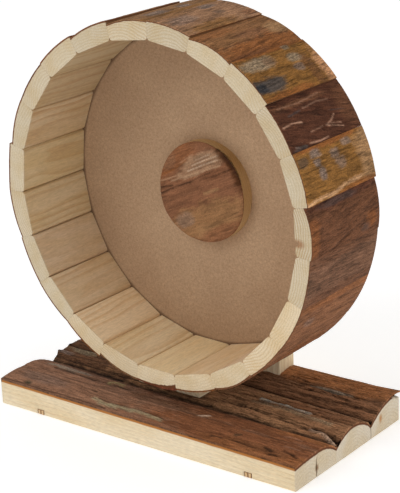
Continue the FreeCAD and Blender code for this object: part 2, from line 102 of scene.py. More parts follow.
class Graph:
    """A node tree that is written as sums of fields."""

    def __init__(self, tree):
        self.tree = tree

    def feed(self, socket, value):
        if isinstance(value, Field):
            self.tree.links.new(value.socket, socket)
        else:
            socket.default_value = value

    def add(self, kind, inputs=(), output=0, **settings):
        """Adds a node, feeds its inputs by name or number, and returns one of its outputs as a field."""
        node = self.tree.nodes.new(kind)
        for name, value in settings.items():
            setattr(node, name, value)
        for key, value in dict(inputs).items():
            self.feed(node.inputs[key], value)
        return Field(self, node.outputs[output])

    def math(self, operation, *values):
        return self.add("ShaderNodeMath", enumerate(values), operation=operation)

    def vector(self, x, y, z):
        return self.add("ShaderNodeCombineXYZ", enumerate((x, y, z)))

    def parts(self, vector):
        node = self.tree.nodes.new("ShaderNodeSeparateXYZ")
        self.feed(node.inputs[0], vector)
        return [Field(self, socket) for socket in node.outputs]

    def stretched(self, vector, x, y, z):
        return self.add("ShaderNodeVectorMath", {0: vector, 1: (x, y, z)}, operation="MULTIPLY")

    def noise(self, vector, detail=2.0, rough=0.5, twist=0.0):
        inputs = {"Vector": vector, "Scale": 1.0, "Detail": detail, "Roughness": rough, "Distortion": twist}
        return self.add("ShaderNodeTexNoise", inputs)

    def between(self, value, low, high, start=0.0, end=1.0):
        """Goes smoothly from start to end while the value goes from low to high."""
        inputs = {"Value": value, "From Min": low, "From Max": high, "To Min": start, "To Max": end}
        return self.add("ShaderNodeMapRange", inputs, "Result", interpolation_type="SMOOTHSTEP")

    def blend(self, share, first, second, way="MIX"):
        """A colour that goes from the first to the second."""
        inputs = {0: share, 6: first, 7: second}
        return self.add("ShaderNodeMix", inputs, 2, data_type="RGBA", blend_type=way)

    def attribute(self, name):
        return self.add("ShaderNodeAttribute", (), "Vector", attribute_name=name)

    def amount(self, name):
        return self.add("ShaderNodeAttribute", (), "Fac", attribute_name=name)

    def fourth(self, name):
        return self.add("ShaderNodeAttribute", (), "Alpha", attribute_name=name)


print("a graph can:", [name for name in vars(Graph) if not name.startswith("_")])

# %% [markdown]
# ## Colours and shaders
# Colours are written as they are seen, from 0 to 255, and a shader wants linear values, so one helper turns
# them. A finish here is the shader that every new material has, with a colour, a roughness and a bump. The
# depth of a bump is given in millimetres, as on the bench.

# %% Colours and shaders

BUMP_STRENGTH = 0.6
PLAIN_SPECULAR = 0.5


def srgb(red, green, blue):
    """A colour as it is seen, from 0 to 255, as the linear values that shaders use."""
    return tuple(((c / 255 + 0.055) / 1.055) ** 2.4 for c in (red, green, blue)) + (1.0,)


def new_material(name):
    material = bpy.data.materials.new(name)
    material.use_nodes = True
    return material, Graph(material.node_tree), material.node_tree.nodes["Principled BSDF"]


def finish_shader(graph, shader, colour, roughness, height, bump_mm, specular=PLAIN_SPECULAR):
    """Gives a shader its colour, roughness, gloss and a bump that is bump_mm millimetres deep."""
    graph.feed(shader.inputs["Base Color"], colour)
    graph.feed(shader.inputs["Roughness"], roughness)
    bump = {"Strength": BUMP_STRENGTH, "Distance": bump_mm / 1000, "Height": height}
    graph.feed(shader.inputs["Normal"], graph.add("ShaderNodeBump", bump))
    shader.inputs["Specular IOR Level"].default_value = specular


print("middle grey, linear:", [round(c, 3) for c in srgb(128, 128, 128)])

# %% [markdown]
# ## Finish: sawn pine
# Growth rings are shells round the middle of the log, so the pattern is measured from there: rings show as
# arcs on a sawn end and as long streaks on a face, from one and the same solid pattern. Each wooden piece
# carries its place in its own log as an attribute, in millimetres: across, along the grain, and away from
# the middle. A flat image could not turn the corner from the end to the face.

# %% Pine pattern

PALE_WOOD = srgb(228, 212, 184)
LATE_WOOD = srgb(196, 156, 108)
WARM_WOOD = srgb(221, 200, 164)


def pine(graph, place, ring_mm=2.7, contrast=1.0):
    """Colour and height of pine at a place in its log, in millimetres."""
    across, _, out = graph.parts(place)
    drift = graph.noise(graph.stretched(place, 0.035, 0.006, 0.035), 2.0)
    radius = graph.math("SQRT", across * across + out * out) + drift * 9.0
    turn = graph.math("FRACT", radius / ring_mm)
    late = graph.between(turn, 0.35, 0.9) * graph.between(turn, 0.92, 1.0, 1.0, 0.0)
    strength = graph.between(graph.noise(graph.stretched(place, 0.02, 0.004, 0.02)), 0.3, 0.7, 0.2, 0.7)
    fibre = graph.noise(graph.stretched(place, 1.4, 0.06, 1.4), 3.0, 0.65)
    cloud = graph.noise(graph.stretched(place, 0.05, 0.012, 0.05), 2.0)
    base = graph.blend(graph.between(cloud, 0.35, 0.7), PALE_WOOD, WARM_WOOD)
    colour = graph.blend(late * strength * contrast, base, LATE_WOOD)
    torn = graph.noise(graph.stretched(place, 0.9, 0.2, 0.9), 3.0, 0.7)
    colour = graph.blend(1.0, colour, fibre * 0.44 + torn * 0.5 + 0.53, "MULTIPLY")
    return colour, fibre * 0.5 + late * 0.3 + torn * 0.4


print("pine, pale and late, linear:", [[round(c, 2) for c in wood[:3]] for wood in (PALE_WOOD, LATE_WOOD)])

# %% [markdown]
# ## Finish: bark
# Bark is what is left of the outside of the log: furrows and scales run along the grain, with patches of
# lichen, rust-red inner bark and places where it peeled. The relief is real geometry, made below; the
# material adds what is finer than the mesh, and it darkens the furrows, which is painted shade. Painted
# patches are an attribute of each piece, so each stave can have its own, and streaks along the grain break up
# their edges.

# %% Bark pattern

PALE_SCRATCH = srgb(182, 140, 108)
CRACK_LINES = ((0.3, 0.015, 0.03), (0.75, 0.036, 0.035))


def bark(graph, crack_depth, mottle):
    """Colour and height of bark from a piece's own paint, relief and place along the grain."""
    grain = graph.attribute("grain")
    paint = graph.attribute("paint")
    lichen = graph.fourth("paint")
    relief = graph.amount("relief")
    streak = graph.noise(graph.stretched(grain, 0.8, 0.09, 3.1), 4.0, 0.65, 0.6)
    fleck = graph.noise(graph.stretched(grain, 1.5, 0.7, 3.1), 3.0, 0.7, 0.5)
    scratch = graph.noise(graph.stretched(grain, 2.3, 0.035, 5.3), 1.0, 0.4, 0.3)
    # The relief term darkens the furrows and low fibres: painted shade.
    shade = graph.between(streak, 0.28, 0.72, 0.76, 1.24) * graph.between(relief, 0.1, 0.65, 0.55, 1.08)
    shade = shade * graph.between(fleck, 0.28, 0.72, 0.66, 1.34)
    shade = 1.0 + (shade - 1.0) * mottle
    crumb = graph.noise(graph.stretched(grain, 0.85, 0.5, 3.7), 3.0, 0.75, 0.5)
    shade = shade * (1.0 + lichen * graph.between(crumb, 0.4, 0.64, -0.5, 0.28))
    for width, length, narrow in CRACK_LINES:
        line = graph.noise(graph.stretched(grain, width, length, 2.3 + width), 3.0, 0.6, 0.7)
        open_line = graph.between(graph.math("ABSOLUTE", line - 0.5), 0.0, narrow, 1.0, 0.0)
        shade = shade * (1.0 - open_line * crack_depth)
    colour = graph.blend(1.0, paint, shade, "MULTIPLY")
    light = graph.between(scratch, 0.68, 0.76) * graph.between(fleck, 0.45, 0.6)
    colour = graph.blend(light * 0.3, colour, PALE_SCRATCH)
    return colour, shade


print("pale scratch, linear:", [round(c, 2) for c in PALE_SCRATCH[:3]])

# %% [markdown]
# ## Finish: a log from bark to wood
# A piece of log shows bark, then a thin rust-brown line, then wood. This could be two materials with a seam
# between their faces, but then the edge would follow the mesh. One material that asks how deep a point lies
# under the bark gives a ragged edge. Sawn ends also get fine pores, where the fibres are cut across.

# %% Finish of a log


def log_finish(name, bark_mm, ring_mm, crack_depth, mottle):
    """Bark down to its thickness, then a thin rust-brown line, then sawn pine."""
    material, graph, shader = new_material(name)
    depth = graph.amount("depth")
    place = graph.attribute("log")
    wood, wood_height = pine(graph, place, ring_mm, graph.fourth("tone"))
    wood = graph.blend(1.0, wood, graph.attribute("tone"), "MULTIPLY")
    pore = graph.noise(graph.stretched(place, 0.85, 0.3, 0.85), 2.0, 0.6)
    wood = graph.blend(graph.fourth("lip"), wood, graph.between(pore, 0.36, 0.64, 0.94, 1.05), "MULTIPLY")
    skin, skin_height = bark(graph, crack_depth, mottle)
    edge = depth + graph.noise(graph.stretched(place, 0.3, 0.06, 0.3), 2.0) * 0.8 - 0.4
    inner_bark = graph.between(edge, bark_mm * 0.3, bark_mm * 0.6)
    sawn = graph.between(edge, bark_mm * 0.9, bark_mm * 1.2)
    colour = graph.blend(inner_bark, skin, graph.attribute("lip"))
    colour = graph.blend(sawn, colour, wood)
    height = skin_height + sawn * (wood_height - skin_height)
    roughness = graph.between(sawn, 0.0, 1.0, 0.88, 0.72)
    finish_shader(graph, shader, colour, roughness, height, bump_mm=0.35, specular=0.12)
    return material


stave_finish = log_finish("bark and pine of a stave", bark_mm=1.2, ring_mm=2.2, crack_depth=0.3, mottle=1.0)
smooth_strip_finish = log_finish("smooth bark and pine of a half log", bark_mm=3.0, ring_mm=2.6,
                                 crack_depth=0.35, mottle=0.7)
cracked_strip_finish = log_finish("cracked bark and pine of a half log", bark_mm=3.0, ring_mm=2.6,
                                  crack_depth=0.6, mottle=0.9)
hub_finish = log_finish("bark and pine of the hub disc", bark_mm=1.0, ring_mm=2.4,
                        crack_depth=0.14, mottle=0.65)
log_finishes = (stave_finish, smooth_strip_finish, cracked_strip_finish, hub_finish)
print("finishes:", [finish.name for finish in log_finishes])

# %% [markdown]
# ## Geometry Nodes that end in a plain mesh
# A stave, a half log and the hub disc are each a block of wood bent to a rule, so each is a node tree: a
# finely divided block goes in, every point is moved by the rule, and the bark side gets its relief. The tree
# has named inputs for the sizes. An exporter drops what is only a modifier, so the evaluated result is
# turned into a plain mesh at once.

# %% Trees with named inputs


class ShapeTree:
    """A Geometry Nodes tree with named inputs, which starts from loose points or from a divided block."""

    def __init__(self, name, divisions=None):
        self.tree = bpy.data.node_groups.new(name, "GeometryNodeTree")
        self.graph = Graph(self.tree)
        self.keys = {}
        self.tree.interface.new_socket("Geometry", in_out="OUTPUT", socket_type="NodeSocketGeometry")
        self.tree.interface.new_socket("Points", in_out="INPUT", socket_type="NodeSocketGeometry")
        self.entry = self.tree.nodes.new("NodeGroupInput")
        self.shape = Field(self.graph, self.entry.outputs[0])
        self.place = self.graph.parts(self.graph.add("GeometryNodeInputPosition"))
        if divisions:
            counts = {f"Vertices {axis}": count for axis, count in zip("XYZ", divisions)}
            self.shape = self.graph.add("GeometryNodeMeshCube", counts, "Mesh")

    def size(self, name, kind="NodeSocketFloat"):
        """A named input of the tree."""
        self.keys[name] = self.tree.interface.new_socket(name, in_out="INPUT", socket_type=kind).identifier
        return Field(self.graph, next(s for s in self.entry.outputs if s.identifier == self.keys[name]))

    def store(self, name, value, kind="FLOAT"):
        inputs = {"Geometry": self.shape, "Name": name, "Value": value}
        self.shape = self.graph.add("GeometryNodeStoreNamedAttribute", inputs, data_type=kind, domain="POINT")

    def move_points(self, x_mm, y_mm, z_mm):
        place = self.graph.stretched(self.graph.vector(x_mm, y_mm, z_mm), 0.001, 0.001, 0.001)
        self.shape = self.graph.add("GeometryNodeSetPosition", {"Geometry": self.shape, "Position": place})

    def cut(self, *tools):
        boolean = self.tree.nodes.new("GeometryNodeMeshBoolean")
        boolean.operation = "DIFFERENCE"
        boolean.solver = "MANIFOLD"
        self.graph.feed(boolean.inputs["Mesh 1"], self.shape)
        for tool in tools:
            self.graph.feed(boolean.inputs["Mesh 2"], tool)
        self.shape = Field(self.graph, boolean.outputs["Mesh"])

    def close(self):
        """Ends the tree with Realize Instances and Set Material."""
        self.shape = self.graph.add("GeometryNodeRealizeInstances", {"Geometry": self.shape})
        finish = self.size("Finish", "NodeSocketMaterial")
        self.shape = self.graph.add("GeometryNodeSetMaterial", {"Geometry": self.shape, "Material": finish})
        self.graph.feed(self.tree.nodes.new("NodeGroupOutput").inputs[0], self.shape)

    def make(self, name, points=(), **sizes):
        """The tree's result for these points and sizes, as an object with a plain mesh."""
        start = bpy.data.meshes.new(name + "_start")
        start.from_pydata(points, [], [])
        maker = bpy.data.objects.new(name + "_maker", start)
        scene.collection.objects.link(maker)
        modifier = maker.modifiers.new("shape", "NODES")
        modifier.node_group = self.tree
        for label, value in sizes.items():
            modifier[self.keys[label.replace("_", " ").capitalize()]] = value
        mesh = bpy.data.meshes.new_from_object(maker.evaluated_get(bpy.context.evaluated_depsgraph_get()))
        bpy.data.objects.remove(maker)
        return new_piece(name, mesh)


print("a shape tree can:", [name for name in vars(ShapeTree) if not name.startswith("_")])

# %% Pieces

CREASE = math.radians(38)


def new_piece(name, mesh):
    mesh.name = name
    mesh.shade_smooth()
    mesh.set_sharp_from_angle(angle=CREASE)
    piece = bpy.data.objects.new(name, mesh)
    scene.collection.objects.link(piece)
    return piece


def set_down(piece, body, slot, *replaced):
    """Says which body a finished piece rides on and which nodes it stands for. The slot is not used."""
    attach(piece, body)
    if replaced:
        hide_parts(*replaced)


# %% [markdown]
# ### Relief of bark
# Furrows, scales and fibres are noise that is stretched along the grain. They are moved points and not only
# bump, because bark shows in the outline. The same step stores what the finishes read at each point: its
# depth under the bark, its relief, two noises for ragged edges, its grain and its place in the log.

# %% Bark relief and stored attributes

BARK_SWELL = 0.8
SCALE_STEP = 0.25
FURROW_DEPTH = 0.45
FIBRE_HEIGHT = 0.4
MEAN_HEIGHT = 0.15


def bark_relief(graph, across, along, seed, length_scale, roughness):
    """Height of bark in millimetres and its relief from 0 in a furrow to 1 on a scale."""

    def rough(width, length, shift, detail=2.0, twist=0.0):
        place = graph.vector(across / width, along / (length * length_scale), seed * 9.7 + shift)
        return graph.noise(place, detail, 0.55, twist)

    swell = rough(16.0, 80.0, 0.0) - 0.5
    off_furrow = graph.math("ABSOLUTE", rough(4.4, 42.0, 3.1, 3.0, 0.5) - 0.5)
    furrow = graph.between(off_furrow, 0.0, 0.055, 1.0, 0.0)
    scale_noise = rough(7.5, 30.0, 6.3, 2.0, 0.8)
    scales = graph.between(scale_noise, 0.43, 0.47) + graph.between(scale_noise, 0.55, 0.58)
    fibre = rough(1.5, 16.0, 8.9, 3.0) - 0.5
    height = swell * BARK_SWELL + scales * SCALE_STEP - furrow * FURROW_DEPTH
    height = height + fibre * FIBRE_HEIGHT - MEAN_HEIGHT
    relief = 0.45 + scales * 0.12 - furrow * 0.3 + fibre * 0.7
    return height * roughness, relief


def store_log_attributes(shape, across, along, seed, depth, relief, place, ragged_mm=6.0):
    """What the finishes read: depth under the bark, relief, ragged noise, grain and the place in the log."""
    graph = shape.graph
    ragged = graph.noise(graph.vector(across / 2.6, along / ragged_mm, seed * 5.1 + 2.0), 3.0, 0.65)
    blotch = graph.noise(graph.vector(across / 9.0, along / 20.0, seed * 6.7 + 5.0), 3.0, 0.55)
    shape.store("blotch", blotch)
    shape.store("depth", depth)
    shape.store("relief", relief)
    shape.store("ragged", ragged)
    shape.store("grain", graph.vector(across, along, seed), "FLOAT_VECTOR")
    shape.store("log", place, "FLOAT_VECTOR")


print("furrows in mm:", FURROW_DEPTH, "steps between scales in mm:", SCALE_STEP)

# %% [markdown]
# ## The staves
# Twenty-three staves make the drum. A cooper saws them from thin logs: flat inside with eased edges, planed
# to the seam angle at both sides, and left round outside. They could be one ring with painted seams, but on
# the real wheel each stave has its own round and its own bark, and notches show where two meet. So each is
# its own piece from one tree, with the three figures of its round outside as inputs.

# %% Stave tree

STAVE_COUNT = 23
SEAM_RADIUS = 145.0
STAVE_THICKNESS = 12.7
BARK_SKIN = SEAM_RADIUS + 1.3
EASED_EDGE = 2.4
FIRST_TURN = -6.3
HALF_STAVE = math.pi / STAVE_COUNT
INNER_FLAT = (SEAM_RADIUS - STAVE_THICKNESS) * math.cos(HALF_STAVE)
SEAM_GAP = 0.05
REAR_ROUNDING = 0.5
CROZE_RADIUS = INNER_FLAT + 3.5

panel_low, panel_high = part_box("back_panel")
stave_low, stave_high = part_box("stave_01")
AXLE_HEIGHT = (panel_low.z + panel_high.z) * 500
WHEEL_FRONT = stave_low.y * 1000
STAVE_LENGTH = (stave_high.y - stave_low.y) * 1000
PANEL_FRONT = panel_low.y * 1000
PANEL_REAR = panel_high.y * 1000
STAVE_ROWS = 71
CROZE_ROW = 56
CROZE_WALL = (0.1, 0.08)
KNOT_WIDTH = 0.075
KNOT_LENGTH = (3.0, 9.0)


def stave_tree():
    shape = ShapeTree("stave sawn from a log", (61, STAVE_ROWS, 9))
    graph = shape.graph
    first, crown, last = (shape.size(name) for name in ("First wane", "Crown", "Last wane"))
    turn, seed = shape.size("Turn"), shape.size("Seed")
    log_radius, pith_shift = shape.size("Log radius"), shape.size("Pith shift")
    slant, knot_place, knot_depth = (shape.size(name) for name in ("Slant", "Knot place", "Knot depth"))
    x, y, z = shape.place
    u, v, w = x + 0.5, z + 0.5, y + 0.5

    # along the axle, with close rows at both walls of the groove that holds the panel
    step = 1.0 / (STAVE_ROWS - 1)
    wide, narrow = CROZE_WALL
    stops = [(0.0, 0.0), (CROZE_ROW * step, PANEL_FRONT - WHEEL_FRONT - wide)]
    stops += [((CROZE_ROW + 1) * step, PANEL_FRONT - WHEEL_FRONT - narrow)]
    stops += [((CROZE_ROW + 2) * step, PANEL_REAR - WHEEL_FRONT + narrow)]
    stops += [((CROZE_ROW + 3) * step, PANEL_REAR - WHEEL_FRONT + wide), (1.0, STAVE_LENGTH)]
    along = 0.0
    for (w0, y0), (w1, y1) in zip(stops, stops[1:]):
        inputs = {"Value": w, "From Min": w0, "From Max": w1, "To Min": 0.0, "To Max": y1 - y0}
        along = graph.add("ShaderNodeMapRange", inputs, "Result") + along

    # the round outside: through both waney edges and the crown
    angle = x * (2 * HALF_STAVE)
    wane = crown * (1.0 - x * x * 4.0) + (first + last) * 0.5 * (1.0 - x * x * 4.0)
    outer = BARK_SKIN + (wane - first * (1.0 - u) - last * u) * (1.0 - w * REAR_ROUNDING)
    girth = angle * SEAM_RADIUS + along * slant
    height, relief = bark_relief(graph, girth, along, seed, 1.0, 0.75)
    worn = graph.between(graph.math("ABSOLUTE", x), 0.4, 0.5, 1.0, 0.3)
    worn = worn * graph.between(graph.math("ABSOLUTE", y), 0.45, 0.5, 1.0, 0.2)
    lifted = outer + graph.between(v, 0.94, 1.0) * height * worn
    outer_x = lifted * graph.math("SINE", angle)
    outer_z = lifted * graph.math("COSINE", angle)

    # the flat inside with eased edges
    half = INNER_FLAT * math.tan(HALF_STAVE)
    into_edge = graph.math("MAXIMUM", graph.math("ABSOLUTE", x) * (2 * half) - (half - EASED_EDGE), 0.0)
    arc = graph.math("MAXIMUM", EASED_EDGE ** 2 - into_edge * into_edge, 0.0)
    inner_z = INNER_FLAT + EASED_EDGE - graph.math("SQRT", arc)
    off_knot = (u - knot_place) / KNOT_WIDTH
    bite = graph.between(off_knot * off_knot, 0.0, 1.0, 1.0, 0.0)
    bite = bite * graph.between(along, *KNOT_LENGTH, 1.0, 0.0)
    inner_z = inner_z + bite * knot_depth
    inner_x = x * (2 * math.tan(HALF_STAVE)) * inner_z

    across = inner_x + (outer_x - inner_x) * v
    out = inner_z + (outer_z - inner_z) * v
    gap = graph.math("SIGN", x) * graph.between(graph.math("ABSOLUTE", x), 0.46, 0.5) * SEAM_GAP
    across = across - gap
    in_croze = graph.math("COMPARE", w, (CROZE_ROW + 1.5) * step, step * 0.75)
    out = out + in_croze * graph.math("MAXIMUM", CROZE_RADIUS - out, 0.0)

    place = graph.vector(across + pith_shift, along, out - SEAM_RADIUS + log_radius)
    depth = (1.0 - v) * (outer - inner_z)
    store_log_attributes(shape, girth, along, seed, depth, relief, place)
    shape.store("edge_on", u)
    sine, cosine = graph.math("SINE", turn), graph.math("COSINE", turn)
    up = out * cosine - across * sine + AXLE_HEIGHT
    shape.move_points(across * cosine + out * sine, along + WHEEL_FRONT, up)
    shape.close()
    return shape


stave_shape = stave_tree()
print("stave inputs:", list(stave_shape.keys))

# %% [markdown]
# ### What each stave looks like
# The wane of each stave is that of the CAD model. The paint is a ground colour with a few patches, each given
# by the part of the stave it covers: from its first edge to its last, and from the front of the drum to the
# rear. Noise along the grain makes their edges ragged.

# %% Bark colours

CHOCOLATE = srgb(114, 74, 50)
DARK_CHOCOLATE = srgb(98, 60, 43)
RED_BROWN = srgb(142, 96, 66)
RUST = srgb(150, 90, 46)
TAN = srgb(150, 110, 74)
OCHRE = srgb(146, 101, 50)
GREY_BROWN = srgb(136, 100, 74)
LICHEN = srgb(170, 148, 120)
LILAC_GREY = srgb(150, 130, 118)
BLUE_BLACK = srgb(72, 72, 72)
PEELED = srgb(208, 152, 108)
PEELED_TAN = srgb(172, 132, 92)
PALE_FIBRE = srgb(186, 152, 120)
PALE_GREY = srgb(182, 170, 150)
OLIVE_GREY = srgb(156, 140, 112)
LIGHT_BROWN = srgb(166, 124, 92)
WARM_TAN = srgb(146, 102, 65)
INK_BLUE = srgb(48, 50, 54)
COFFEE = srgb(89, 53, 36)
DULL_BROWN = srgb(126, 90, 68)
DARK_RED = srgb(122, 66, 44)
LICHENS = (LICHEN, LILAC_GREY, PALE_GREY, OLIVE_GREY)
print("colours of lichen:", len(LICHENS))

# %% Patches of paint

BLOTCHED_GROUND = 0.7
RAGGED_EDGE = 2.2
BLOTCHED_EDGE = 2.6


def read_attribute(mesh, name, width=1):
    values = np.zeros(len(mesh.vertices) * width, np.float32)
    mesh.attributes[name].data.foreach_get("value" if width == 1 else "vector", values)
    return values.reshape(-1, width) if width > 1 else values


def colour_attribute(mesh, name, colours):
    layer = mesh.attributes.new(name, "FLOAT_COLOR", "POINT")
    full = np.ones((len(mesh.vertices), 4), np.float32)
    full[:, :colours.shape[1]] = colours
    layer.data.foreach_set("color", full.ravel())


def paint(piece, ground, patches, u, w):
    """Colours of a piece's bark: each patch is a colour, its reach across and along, and its strength."""
    ragged = read_attribute(piece.data, "ragged") - 0.5
    blotch = read_attribute(piece.data, "blotch") - 0.5
    colours = np.tile(np.array((*ground[:3], 0.0), np.float32), (len(u), 1))
    colours *= (1.0 + blotch * BLOTCHED_GROUND)[:, None]
    for colour, (u0, u1), (w0, w1), strength in patches:
        off_u = np.abs(u - (u0 + u1) / 2) / ((u1 - u0) / 2)
        off_w = np.abs(w - (w0 + w1) / 2) / ((w1 - w0) / 2)
        off = (off_u ** 3 + off_w ** 3) ** (1 / 3)
        edge = (1.0 - off) * 2.4 + 0.25 + ragged * RAGGED_EDGE + blotch * BLOTCHED_EDGE
        share = np.clip(edge, 0.0, 1.0)[:, None] * strength
        full = np.array((*colour[:3], float(colour in LICHENS)), np.float32)
        colours = colours * (1 - share) + full * share
    return colours


print("edges of a patch, ragged:", RAGGED_EDGE, "and blotched:", BLOTCHED_EDGE)

# %% [markdown]
# ### Tones of sawn wood
# Sawn ends and inner faces have different tones on the real wheel, from the saw and the plane. The sides in a
# seam and the walls of cut grooves and holes are tinted dark, which is painted shade in the gaps. Three
# materials would do, but the tone is only a tint of one pattern, so it is an attribute of each point: a
# colour to multiply by, and how strong the growth rings show.

# %% Tones of sawn wood

# Painted shade: the sides in a seam and the walls of cut grooves and holes get this dark tint.
GAP_SHADE_TONE = np.array((0.3, 0.19, 0.12, 0.3))
DARK_LIP = srgb(104, 62, 38)
ORANGE_LIP = srgb(172, 112, 56)


def wood_tone(piece, is_end, is_seam, end_tone, face_tone, stains_and_shade=(), face_lip=DARK_LIP):
    """Tints sawn wood: ends pale, and sides in a seam and walls of cuts dark, which is painted shade. The
    fourth value is how strong the rings are.

    A stain is how much of it each point has, and its tint; the dark tint under loose bark is painted shade.
    The lip is the line between bark and wood, and its fourth value tells the speckled sawn ends from the
    faces.
    """
    lip = np.where(is_end[:, None], DARK_LIP, face_lip)
    lip[:, 3] = is_end
    colour_attribute(piece.data, "lip", lip.astype(np.float32))
    tone = np.where(is_end[:, None], end_tone, np.where(is_seam[:, None], GAP_SHADE_TONE, face_tone))
    for share, tint in stains_and_shade:
        tone[:, :3] *= 1.0 + share[:, None] * (np.array(tint) - 1.0)
    colour_attribute(piece.data, "tone", tone.astype(np.float32))


print("tone of a seam:", GAP_SHADE_TONE)

# %% [markdown]
# ### Cracks and scratches
# Noise makes bark that is even all over. The cracks, lifted ridges and scratches that one remembers are drawn
# one by one, as lines with a width, a height and a colour. A stroke moves the points as well as painting
# them, so a crack is both deep and dark.

# %% Cracks and scratches

ON_FACE = 0.01
ON_EDGE = 0.001


def ramp(value, start, end):
    return np.clip((value - start) / (end - start), 0.0, 1.0)


def shift_points(piece, share, step_mm):
    """Moves each point by its share of a step in millimetres."""
    places = np.zeros(len(share) * 3, np.float32)
    piece.data.vertices.foreach_get("co", places)
    moved = places.reshape(-1, 3) + share[:, None] * np.array(step_mm) / 1000
    piece.data.vertices.foreach_set("co", moved.astype(np.float32).ravel())


def score(piece, a, b, outward, colours, strokes):
    """Draws cracks and ridges into bark along lines of (a, b) points in millimetres.

    A stroke is its points, width, height (below zero for a crack), colour and strength.
    """
    ragged = read_attribute(piece.data, "ragged") - 0.5
    bark_side = read_attribute(piece.data, "depth") < ON_FACE
    for points, width, height, colour, strength in strokes:
        off = np.full(len(a), 1e9)
        for (a0, b0), (a1, b1) in zip(points, points[1:]):
            length = (a1 - a0) ** 2 + (b1 - b0) ** 2
            t = np.clip(((a - a0) * (a1 - a0) + (b - b0) * (b1 - b0)) / length, 0.0, 1.0)
            off = np.minimum(off, np.hypot(a - a0 - t * (a1 - a0), b - b0 - t * (b1 - b0)))
        share = np.clip(1.35 - off / (width * (1.0 + ragged * 2.2)), 0.0, 1.0) * bark_side
        share = share * np.clip(1.0 + ragged * 2.5, 0.45, 1.0)
        shift_points(piece, share * height, outward)
        full = np.array((*colour[:3], float(colour in LICHENS)))
        colours = colours + (full - colours) * (share * strength)[:, None]
    colour_attribute(piece.data, "paint", colours.astype(np.float32))


print("a point is on a face within, in mm:", ON_FACE)

# %% [markdown]
# ### Twenty-three staves
# Three figures give each stave its round outside: how far the first edge falls back, how high the crown is,
# and how far the last edge falls back. Staves in view get their bark patch by patch, and strokes in
# millimetres from the front and from the first edge. The others get patches by chance, from a fixed seed.
# On one low stave the bark has lifted at the front.

# %% Wane and bark of the staves

